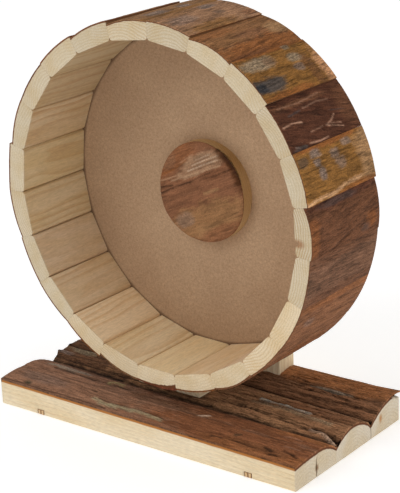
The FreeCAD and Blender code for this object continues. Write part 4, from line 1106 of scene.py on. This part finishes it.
STRIP_STROKES = {
    "front": [([(-132, -50), (-110, -49), (-88, -51), (-60, -52)], 0.9, -0.8, BLACK_BROWN, 0.7),
              ([(-140, -58), (-100, -60)], 0.7, -0.6, BLACK_BROWN, 0.4),
              ([(-122, -68.6), (-120, -68.4)], 2.3, -0.6, DARK_GREEN, 0.8),
              ([(-54, -63.6), (-46, -64.6)], 2.4, 0.5, PALE_OLIVE, 0.75),
              ([(-43, -66.6), (-29, -66.2)], 3.0, 0.6, PALE_OLIVE, 0.85),
              ([(-36, -63.4), (-28, -64)], 2.0, 0.5, PALE_OLIVE, 0.6),
              ([(-24, -63.8), (-14, -64.8)], 2.8, 0.6, PALE_OLIVE, 0.8),
              ([(-13, -62.6), (0, -63.6)], 2.4, 0.5, PALE_OLIVE, 0.7),
              ([(3, -64.2), (15, -65.4)], 2.6, 0.6, PALE_OLIVE, 0.75),
              ([(-50, -61.4), (-30, -62), (-8, -60.6), (16, -62.4)], 0.9, -0.8, BLACK_BROWN, 0.8),
              ([(-146, -71.4), (-100, -71), (-60, -70.6), (-36, -71.4)], 1.0, -0.8, BLACK_BROWN, 0.8),
              ([(81, -55.5), (83, -55)], 2.2, -0.6, DARK_GREEN, 0.7),
              ([(64, -64.6), (82, -62.8), (104, -64.4)], 1.1, -1.1, BLACK, 0.75),
              ([(111, -60), (118, -62)], 1.6, -1.1, BLACK, 0.8),
              ([(126, -57.5), (133, -59), (140, -61.5)], 1.4, -1.1, BLACK, 0.8),
              ([(119, -66), (128, -66.5)], 1.3, -0.8, BLACK, 0.7),
              ([(122, -51.8), (129, -50.8), (136, -51.4)], 0.8, 0.3, PINK_SCRATCH, 0.5)],
    "second": [([(38, -44.6), (41, -42), (44, -40.2)], 2.0, 0.4, CREAM_SCRATCH_AND_HIGHLIGHT, 1.0),
               ([(-120, -33.5), (-80, -34.5), (-40, -34)], 2.2, -1.8, BLACK, 0.75),
               ([(-64, -32), (-58, -29.6), (-51, -30)], 2.1, 0.7, YELLOW_GREEN, 0.75),
               ([(114, -38), (121, -36), (130, -38.4)], 1.1, 0.3, PINK_SCRATCH, 0.28),
               # The stroke below is a real groove painted black: painted shade in the valley between the
               # second and third half logs.
               ([(-146, -11.6), (0, -15.6), (146, -19.6)], 1.5, -0.6, BLACK, 0.85)],
    # The first stroke below is a real groove painted black: painted shade in the valley between the second
    # and third half logs.
    "third": [([(-146, -9.2), (0, -13.2), (146, -17.2)], 1.5, -0.6, BLACK, 0.85),
              # The next two strokes are real grooves painted black: painted shade in the valley between the
              # third and back half logs.
              ([(-146, 32.4), (0, 31.4), (146, 30.4)], 2.3, -0.7, BLACK, 0.95),
              ([(-146, 32.9), (0, 31.9), (146, 30.9)], 2.0, -0.7, BLACK, 1.0),
              ([(-146, -5), (-100, -6), (-40, -8)], 1.1, -1.7, BLACK, 0.7),
              ([(40, -6), (80, -8), (140, -12)], 1.1, -1.7, BLACK, 0.7),
              ([(60, 7.2), (84, 6.4), (109, 3.8)], 1.3, 1.2, TEAL_GREY, 0.95),
              ([(56, 1.5), (90, 1), (132, -2.5)], 1.7, 0.6, OLIVE_GREY, 0.6),
              ([(38, 9.2), (62, 9.6), (84, 8.6), (110, 6.2), (146, 4)], 1.1, -2.0, BLACK, 0.9),
              ([(58, 4.8), (90, 3.8), (114, 1.6)], 0.9, -1.4, BLACK, 0.8),
              ([(20, 2), (50, 0.5)], 1.1, -1.4, BLACK, 0.6),
              ([(60, 17), (105, 15), (146, 17)], 1.1, -1.4, BLACK, 0.6),
              ([(30, 24), (70, 23), (110, 25)], 0.9, -1.0, BLACK_BROWN, 0.6),
              # The stroke on the next line raises a bark chip and paints it cream: a painted highlight on the
              # chip.
              ([(118, -11), (130, -12.5), (138, -15), (145, -17.5)], 0.9, 2.8, CREAM_SCRATCH_AND_HIGHLIGHT, 0.9),
              ([(120, -9.5), (134, -10.5), (146.8, -13.5)], 1.6, -2.8, BLACK, 1.0),
              ([(140, -13), (146.8, -15.5)], 2.2, -3.1, BLACK, 1.0),
              ([(-146, 13), (-120, 12), (-100, 13)], 1.4, -1.7, BLACK, 0.8)],
    # The first two strokes below are real grooves painted black: painted shade in the valley between the
    # third and back half logs.
    "back": [([(-146, 34.6), (0, 33.6), (146, 32.6)], 1.6, -0.7, BLACK, 0.95),
             ([(-146, 34.2), (0, 33.2), (146, 32.2)], 1.6, -0.5, BLACK, 1.0),
             # A lifted bark edge: the black line on the next line is painted shadow under it.
             ([(28, 51), (52, 49.4), (76, 50.6), (104, 48.4), (143, 51.5)], 0.8, -1.2, BLACK, 0.6),
             ([(40, 46), (66, 44.4), (92, 46.4), (120, 45)], 0.6, -0.7, BLACK_BROWN, 0.45),
             ([(28, 39), (60, 41.4), (88, 39.6), (118, 41.6), (146, 40)], 0.7, -0.9, BLACK, 0.45),
             # The pale grey stroke on the next line is a painted highlight along the lifted bark edge.
             ([(80, 49.6), (100, 49.8), (118, 49.2)], 1.2, 0.6, PALE_GREY, 0.6)],
}
print("strokes on half logs:", sum(len(strokes) for strokes in STRIP_STROKES.values()))

# %% [markdown]
# ### What makes each half log its own
# Spots stain the end grain of three half logs at the right. At the back right corner the bark has come loose,
# so the wood under it is set back and tinted almost black, which is painted shade under the loose bark, and
# the bark stands off. At the left end of the third half log two tips of bark stand proud.

# %% Make the half logs

END_SPOTS = {
    "front": [(-45.6, 8.0, 1.6, (0.32, 0.21, 0.14))],
    "second": [(-44.4, 7.4, 1.4, (0.42, 0.28, 0.19))],
    "third": [],
    "back": [(45.5, 12.0, 1.9, (0.75, 0.45, 0.26))],
}
CRACKED_STRIPS = ("third", "back")
STRIP_SHOULDER = {"third": 2.0}
STRIP_SEED = 51.0
STRIP_END_TONE = np.array((0.86, 0.89, 0.96, 0.3))
STRIP_FACE_TONE = np.array((1.0, 1.0, 0.98, 0.45))
NEAR_EDGE_PAINTED_SHADE = 0.5
LOWEST_BARK = 8.0
OUTER_BARK = 1.0
LOOSE_BARK = (1.2, 3.8)
# The tint of the wood under the loose bark is painted shade.
LOOSE_BARK_SHADE = (0.2, 0.14, 0.1)
THIRD_TIPS = [(0.22, 2.0), (0.53, 0.9)]
TIP_WIDTH = 0.05

for number, (name, (left, right, log_radius, gaps, ground, patches)) in enumerate(STRIPS.items()):
    sizes = {}
    for end, values in (("left", left), ("right", right)):
        near, far, near_edge, crest, far_edge = values
        sizes[f"near_{end}"] = BASE_FRONT + near
        sizes[f"far_{end}"] = BASE_FRONT + far
        sizes.update({f"near_edge_{end}": near_edge, f"crest_{end}": crest, f"far_edge_{end}": far_edge})
    finish = cracked_strip_finish if name in CRACKED_STRIPS else smooth_strip_finish
    piece = half_log_shape.make(f"bark_base_{name}", seed=STRIP_SEED + number, log_radius=log_radius,
                                low_gap=gaps[0], high_gap=gaps[1], shoulder=STRIP_SHOULDER.get(name, 0.0),
                                finish=finish, **sizes)
    # the cuts make points that have no depth of their own, and these are not bark
    heights = np.array([vertex.co.z * 1000 for vertex in piece.data.vertices])
    depth = read_attribute(piece.data, "depth")
    depth[heights < LOWEST_BARK] = np.maximum(depth[heights < LOWEST_BARK], LOWEST_BARK)
    piece.data.attributes["depth"].data.foreach_set("value", depth)
    t = read_attribute(piece.data, "across_strip")
    across, along = read_attribute(piece.data, "grain", 3)[:, :2].T
    colours = paint(piece, ground, patches, t, along / BASE_LENGTH + 0.5)
    # Painted shade: the bark along each half log's near edge is made half as bright.
    colours[t < ON_EDGE, :3] *= NEAR_EDGE_PAINTED_SHADE
    score(piece, along, across, np.array((0.0, 0.0, 1.0)), colours, STRIP_STROKES[name])
    is_end = np.abs(along) > BASE_LENGTH / 2 - ON_FACE
    # Sides in a seam and the walls of the cuts get painted shade.
    is_seam = (t > 1.0 - ON_EDGE) & (name != "back") | (t < ON_EDGE) & (name != "front")
    is_cut = depth > CUT_DEPTH - 1.0
    stains_and_shade = []
    for spot_y, spot_z, spot_radius, tint in END_SPOTS[name]:
        off_spot = np.hypot(across - spot_y, (heights - spot_z) * 0.6) / spot_radius
        stains_and_shade.append((is_end * (along > 0) * np.clip(1.5 - off_spot, 0.0, 1.0), tint))
    if name == "back":
        loose = (depth > LOOSE_BARK[0]) & (depth < LOOSE_BARK[1] * ramp(t, 0.55, 0.9))
        under_end = is_end * (along > 0) * loose
        under_edge = (t > 1.0 - ON_EDGE) * loose * ramp(along, 96.0, 136.0)
        # Painted shade: the wood under the loose bark is tinted almost black.
        stains_and_shade.append((np.maximum(under_end, under_edge), LOOSE_BARK_SHADE))
        shift_points(piece, under_end, (-6.0, 0.0, 0.0))
        shift_points(piece, under_edge, (0.0, -5.0, 0.0))
        corner = ramp(along, 126.0, 146.0) * ramp(t, 0.7, 1.0) * (depth < OUTER_BARK)
        shift_points(piece, corner, (1.6, 1.2, 0.6))
    if name == "third":
        for tip, reach in THIRD_TIPS:
            share = np.exp(-((t - tip) / TIP_WIDTH) ** 2) * ramp(-along, 136.0, 146.0) * (depth < OUTER_BARK)
            shift_points(piece, share * reach, (-0.8, 0.0, 1.0))
    wood_tone(piece, is_end & ~is_cut, is_seam | is_cut, STRIP_END_TONE, STRIP_FACE_TONE, stains_and_shade, ORANGE_LIP)
    set_down(piece, "stand", "bark_strip", f"base_strip_{name}")
    print("half log:", name, "faces:", len(piece.data.polygons))

# %% [markdown]
# ## Plain boards and keys
# The upright, the foot board under the wheel and the keys are sawn pine with no bark. Their CAD solids have
# the right shape but knife-sharp edges, so the upright and the foot board are copied, merged to clean faces
# and given a small bevel, and the keys keep their CAD solids.
# Their finish reads Object coordinates, because they have no attribute of their own: a Mapping node turns
# the pattern so that its grain runs along the board and its middle lies outside it.

# %% Board finish

GAP_SHADE_BROWN = srgb(142, 104, 68)


def key_gap_shade(graph, place):
    """How close a place is to an edge of the keys, from 0 to 1, where they get painted shade for the gaps."""
    x, _, z = graph.parts(graph.stretched(place, 1000.0, 1000.0, 1000.0))
    off = graph.math("ABSOLUTE", graph.math("ABSOLUTE", x) - (BASE_LENGTH / 2 - KEY_INSET))
    edge = graph.math("MAXIMUM", graph.between(off, 0.4, 1.0, 1.0, 0.0), graph.between(off, 2.4, 3.0))
    return graph.math("MAXIMUM", edge, graph.between(z, 3.2, 3.8))


def board_finish(name, turn, centre_mm, shade, contrast=1.0, joints=None):
    material, graph, shader = new_material(name)
    place = graph.add("ShaderNodeTexCoord", (), "Object")
    # Painted shade: the keys are darkened along their edges, in the gaps.
    stain_and_gap_shade = joints(graph, place) if joints else 0.0
    mapping = {"Vector": place, "Location": tuple(-c / 1000 for c in centre_mm)}
    place = graph.add("ShaderNodeMapping", mapping)
    place = graph.add("ShaderNodeMapping", {"Vector": place, "Rotation": turn, "Scale": (1000.0,) * 3})
    colour, height = pine(graph, place, 3.2, contrast)
    colour = graph.blend(1.0, colour, shade, "MULTIPLY")
    colour = graph.blend(stain_and_gap_shade, colour, GAP_SHADE_BROWN)
    finish_shader(graph, shader, colour, 0.7, height, bump_mm=0.25, specular=0.25)
    return material


print("keys from the middle:", round(BASE_LENGTH / 2 - KEY_INSET, 1))

# %% Boards

MERGE_DISTANCE = 2e-6
FLAT_ANGLE = math.radians(1.0)
BEVEL_ANGLE = math.radians(50.0)
QUARTER = math.pi / 2


def give_finish(mesh, finish):
    mesh.materials.clear()
    mesh.materials.append(finish)


def bevelled_copy(node, width_mm, finish):
    mesh = nodes[node].data.copy()
    form = bmesh.new()
    form.from_mesh(mesh)
    bmesh.ops.remove_doubles(form, verts=form.verts, dist=MERGE_DISTANCE)
    bmesh.ops.dissolve_limit(form, angle_limit=FLAT_ANGLE, verts=form.verts, edges=form.edges)
    form.to_mesh(mesh)
    form.free()
    give_finish(mesh, finish)
    piece = bpy.data.objects.new("sawn_" + node, mesh)
    scene.collection.objects.link(piece)
    bevel = piece.modifiers.new("eased edges", "BEVEL")
    bevel.width = width_mm / 1000
    bevel.segments = 2
    bevel.limit_method = "ANGLE"
    bevel.angle_limit = BEVEL_ANGLE
    done = bpy.data.meshes.new_from_object(piece.evaluated_get(bpy.context.evaluated_depsgraph_get()))
    bpy.data.objects.remove(piece)
    return new_piece("sawn_" + node, done)


# Painted light: the upright's tint is above one, which lightens it where the wheel shades it.
upright_finish = board_finish("pine of the upright", turn=(QUARTER, 0.0, 0.0), centre_mm=(12.0, 20.0, 0.0),
                              shade=(1.22, 1.2, 1.14, 1.0), contrast=0.6)
# Painted light: the foot board's tint is above one, which lightens it where the wheel shades it.
foot_finish = board_finish("pine of the foot board", turn=(0.0, 0.0, 0.0), centre_mm=(-30.0, 0.0, -14.0),
                           shade=(1.24, 1.22, 1.18, 1.0))
# The keys' finish has painted shade along their edges.
key_finish = board_finish("pine of the keys", turn=(0.0, 0.0, 0.0), centre_mm=(40.0, 0.0, 30.0),
                          shade=(0.9, 0.78, 0.62, 1.0), joints=key_gap_shade)
for node, width, finish in (("upright_board", 0.9, upright_finish), ("foot_board", 0.7, foot_finish)):
    set_down(bevelled_copy(node, width, finish), "stand", "plain_pine", node)
for node in ("base_keys_left", "base_keys_right"):
    give_finish(nodes[node].data, key_finish)
give_finish(nodes["hub_block"].data, foot_finish)
print("plain pine:", [finish.name for finish in (upright_finish, foot_finish, key_finish)])

# %% [markdown]
# ## The back panel
# The panel is smooth fibreboard: brown, with fine specks of fibre and soft clouds, and a painted shadow where
# it goes into the groove of the staves. A new disc would gain nothing over its CAD solid, so only its finish
# is new.

# %% Fibreboard

BOARD_BROWN = srgb(173, 142, 112)
BOARD_PALE = srgb(182, 151, 120)
BOARD_SPECK = srgb(146, 116, 87)
BOARD_HAIR = srgb(206, 174, 140)
PAINTED_RIM_SHADOW = srgb(86, 60, 40)


def fibreboard_finish():
    material, graph, shader = new_material("fibreboard")
    place = graph.add("ShaderNodeTexCoord", (), "Object")
    speck = graph.noise(graph.stretched(place, 900.0, 900.0, 900.0), 3.0, 0.6)
    hair = graph.noise(graph.stretched(place, 260.0, 260.0, 1400.0), 2.0, 0.5, 1.5)
    cloud = graph.noise(graph.stretched(place, 22.0, 22.0, 22.0), 2.0)
    colour = graph.blend(graph.between(cloud, 0.3, 0.7), BOARD_BROWN, BOARD_PALE)
    grit = graph.noise(graph.stretched(place, 430.0, 430.0, 430.0), 3.0, 0.65)
    colour = graph.blend(graph.between(speck, 0.3, 0.75) * 0.6, colour, BOARD_SPECK)
    colour = graph.blend(1.0, colour, graph.between(grit, 0.3, 0.7, 0.9, 1.1), "MULTIPLY")
    colour = graph.blend(graph.between(hair, 0.62, 0.72) * 0.3, colour, BOARD_HAIR)
    x, _, z = graph.parts(graph.stretched(place, 1000.0, 1000.0, 1000.0))
    z = z - AXLE_HEIGHT
    # Painted shadow: the panel darkens towards the groove of the staves.
    rim = graph.between(graph.math("SQRT", x * x + z * z), INNER_FLAT - 2.6, INNER_FLAT + 0.6)
    colour = graph.blend(rim * 0.75, colour, PAINTED_RIM_SHADOW)
    finish_shader(graph, shader, colour, 0.75, speck, bump_mm=0.12, specular=0.2)
    return material


give_finish(nodes["back_panel"].data, fibreboard_finish())
print("panel thickness:", round(PANEL_REAR - PANEL_FRONT, 1))

# %% [markdown]
# ## Steel
# Bearings, bolt, washers, nut and screws are small and mostly hidden. One plain grey would look like paint,
# because steel shows by what it reflects. So there are two metals, ground for the bearings and zinc-plated
# for the rest, each with fine scratches and a changing roughness.

# %% Steel finishes


def steel_finish(name, colour, low_rough, high_rough):
    material, graph, shader = new_material(name)
    place = graph.add("ShaderNodeTexCoord", (), "Object")
    wear = graph.noise(graph.stretched(place, 500.0, 2600.0, 500.0), 3.0)
    cloud = graph.noise(graph.stretched(place, 180.0, 180.0, 180.0), 2.0)
    darker = tuple(c * 0.78 for c in colour[:3]) + (1.0,)
    tint = graph.blend(graph.between(cloud, 0.3, 0.7), colour, darker)
    roughness = graph.between(wear, 0.3, 0.7, low_rough, high_rough)
    finish_shader(graph, shader, tint, roughness, wear, bump_mm=0.04)
    shader.inputs["Metallic"].default_value = 1.0
    return material


bearing_steel = steel_finish("ground bearing steel", srgb(200, 202, 204), low_rough=0.18, high_rough=0.34)
zinc_steel = steel_finish("zinc-plated steel", srgb(196, 194, 184), low_rough=0.3, high_rough=0.5)
STEELS = {"bearing_steel": bearing_steel, "zinc_steel": zinc_steel}
steel_rows = [row for row in frame["record"]["subparts"] if row["material_slot"] in STEELS]
for row in steel_rows:
    give_finish(nodes[row["node"]].data, STEELS[row["material_slot"]])
print("steel nodes:", len(steel_rows))

# %% [markdown]
# ## Screws
# Ten countersunk wood screws hold the hub, the upright and the foot board. They are all one shape, so one
# tree turns a cylinder into a screw by its outline, winds the thread round it, cuts the cross in its head and
# puts it on each loose point that it is given. Copying a modelled screw by hand would do, but then a change
# of length would mean ten changes.

# %% Screw tree

THREAD_DEPTH = 0.26
CROSS_BARS = ((0.28, 1.15), (1.15, 0.28))
CROSS_HEIGHT = 3.0


def screw_tree():
    shape = ShapeTree("countersunk screws")
    graph = shape.graph
    length, head, shank = shape.size("Length"), shape.size("Head"), shape.size("Shank")
    pitch, turn = shape.size("Pitch"), shape.size("Turn")
    points = shape.shape
    blank = {"Vertices": 20, "Side Segments": length / 0.4, "Radius": 1.0, "Depth": length}
    shape.shape = graph.add("GeometryNodeMeshCylinder", blank, "Mesh")
    x, y, z = shape.place
    down = length * 0.5 - z
    angle = graph.math("ARCTAN2", y, x)
    wound = graph.math("FRACT", down / pitch - angle / (2 * math.pi) + 0.5)
    ridge = graph.between(graph.math("ABSOLUTE", wound - 0.5), 0.05, 0.4, 1.0, 0.0)
    threaded = graph.between(down, head + 1.0, head + 3.0)
    body = shank * (1.0 - threaded * (1.0 - ridge) * THREAD_DEPTH)
    body = graph.math("MAXIMUM", body, head - down)
    body = graph.math("MINIMUM", body, (length - down) * 0.5 + 0.05)
    shape.move_points(x * body, y * body, z - length * 0.5)
    bars = []
    for width, depth in CROSS_BARS:
        bar = {"Size": graph.vector(head * width / 1000, head * depth / 1000, CROSS_HEIGHT / 1000)}
        bars.append(graph.add("GeometryNodeMeshCube", bar, "Mesh"))
    shape.cut(*bars)
    on_points = {"Points": points, "Instance": shape.shape, "Rotation": graph.vector(turn, 0.0, 0.0)}
    copies = graph.add("GeometryNodeInstanceOnPoints", on_points)
    spin = graph.vector(0.0, 0.0, graph.add("GeometryNodeInputIndex") * 1.1 + 0.3)
    shape.shape = graph.add("GeometryNodeRotateInstances", {"Instances": copies, "Rotation": spin})
    shape.close()
    return shape


screw_shape = screw_tree()
print("screw inputs:", list(screw_shape.keys))

# %% [markdown]
# ### The ten screws
# Three hold the hub block and the panel to the hub disc, three come up through the base into the upright, and
# four hold the foot board. Each group rides on one body, so each is one piece. Their places are those of the
# CAD model, and the boxes printed side by side show it.

# %% The ten screws

SCREW_PITCH = 1.8
hub_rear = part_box("hub_screws")[1].y * 1000
FOOT_SCREWS = [(x, y, foot_high.z) for x in (-32.2, 2.2) for y in (-2.0, 39.0)]
HUB_SCREW_CIRCLE = 24.0
hub_places = []
for degrees in (90, 210, 330):
    angle = math.radians(degrees)
    screw_x, screw_z = HUB_SCREW_CIRCLE * math.cos(angle), HUB_SCREW_CIRCLE * math.sin(angle)
    hub_places.append((screw_x, hub_rear, AXLE_HEIGHT + screw_z))
SCREW_GROUPS = [
    ("hub_screws", "wheel", hub_places, 29.0, -QUARTER),
    ("upright_screws", "stand", [(x, upright_middle, 0.0) for x in UPRIGHT_SCREWS], 60.0, math.pi),
    ("foot_screws", "stand", FOOT_SCREWS, 25.0, 0.0),
]
for node, body, places, length, turn in SCREW_GROUPS:
    points = [tuple(c / 1000 for c in place) for place in places]
    piece = screw_shape.make("cross_head_" + node, points, length=length, head=SCREW_HEAD, shank=SCREW_SHANK,
                             pitch=SCREW_PITCH, turn=turn, finish=zinc_steel)
    set_down(piece, body, "zinc_steel", node)
    low, high = (np.array(corner) * 1000 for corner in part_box(node))
    shown = np.array([vertex.co for vertex in piece.data.vertices]) * 1000
    print(node, "CAD", low.round(1), high.round(1), "shown", shown.min(0).round(1), shown.max(0).round(1))

# %% [markdown]
# ## Floor and light
# The photograph has a white ground and soft light from the upper left. A large area light gives the soft
# shadow beside the hub disc, and a white sky fills the rest. A weak light at the right opens the shade.

# %% Floor and sky

SKY_STRENGTH = 0.66
FLOOR_REACH = 40.0
FLOOR_DROP = 0.0004
FLOOR_GLOW = 0.33
WHITE = (1.0, 1.0, 1.0, 1.0)
FLOOR_WHITE = (0.95, 0.95, 0.95, 1.0)

scene.view_settings.view_transform = "Standard"
world = bpy.data.worlds.new("white sky")
scene.world = world
world.use_nodes = True
world.node_tree.nodes["Background"].inputs["Color"].default_value = WHITE
world.node_tree.nodes["Background"].inputs["Strength"].default_value = SKY_STRENGTH

floor_corners = [(x * FLOOR_REACH, y * FLOOR_REACH, 0.0) for x, y in ((-1, -1), (1, -1), (1, 1), (-1, 1))]
floor_mesh = bpy.data.meshes.new("floor")
floor_mesh.from_pydata(floor_corners, [], [(0, 1, 2, 3)])
floor = bpy.data.objects.new("floor", floor_mesh)
floor.location.z = -FLOOR_DROP
scene.collection.objects.link(floor)
floor_material, _, floor_shader = new_material("white floor")
floor_shader.inputs["Base Color"].default_value = FLOOR_WHITE
floor_shader.inputs["Roughness"].default_value = 0.9
floor_shader.inputs["Emission Color"].default_value = WHITE
floor_shader.inputs["Emission Strength"].default_value = FLOOR_GLOW
floor_mesh.materials.append(floor_material)
print("floor reaches, in metres:", FLOOR_REACH)

# %% Lights


def area_light(name, place, target, size, power):
    light = bpy.data.lights.new(name, "AREA")
    light.size = size
    light.energy = power
    lamp = bpy.data.objects.new(name, light)
    lamp.location = place
    lamp.rotation_euler = (Vector(target) - Vector(place)).to_track_quat("-Z", "Y").to_euler()
    scene.collection.objects.link(lamp)


area_light("key light", place=(-0.9, -3.0, 2.9), target=(0.0, 0.0, 0.16), size=2.0, power=34.0)
area_light("fill light", place=(2.6, -0.6, 1.2), target=(0.0, 0.0, 0.1), size=1.5, power=9.0)

# %% [markdown]
# ## Camera
# The camera's place, lens and shift were found by fitting the seams, the rim and the base's corners to the
# photograph, so the render can be laid over it. It is set by its own three axes, because a camera that only
# tracks a point has no roll.

# %% Camera

SENSOR_WIDTH = 36.0


def photo_camera(target, azimuth, elevation, roll, distance, lens, shift):
    a, e, c = (math.radians(angle) for angle in (azimuth, elevation, roll))
    back = Vector((math.sin(a) * math.cos(e), -math.cos(a) * math.cos(e), math.sin(e)))
    right = Vector((math.cos(a), math.sin(a), 0.0))
    up = back.cross(right)
    side = right * math.cos(c) + up * math.sin(c)
    top = up * math.cos(c) - right * math.sin(c)
    camera = bpy.data.cameras.new("photo camera")
    camera.sensor_width = SENSOR_WIDTH
    camera.lens = lens
    camera.shift_x, camera.shift_y = shift
    viewer = bpy.data.objects.new("photo camera", camera)
    turn = Matrix((side, top, back)).transposed().to_4x4()
    viewer.matrix_world = Matrix.Translation(Vector(target) + back * distance) @ turn
    scene.collection.objects.link(viewer)
    scene.camera = viewer


photo_camera(target=(0.0300, 0.00496, 0.1542), azimuth=37.04, elevation=18.67, roll=-1.99, distance=1.2835,
             lens=120.7, shift=(-0.0481, -0.0213))
print("camera at:", [round(c, 3) for c in scene.camera.matrix_world.translation])

# %% [markdown] ## Sizes Dressing a model must not change its size.

# %% Sizes
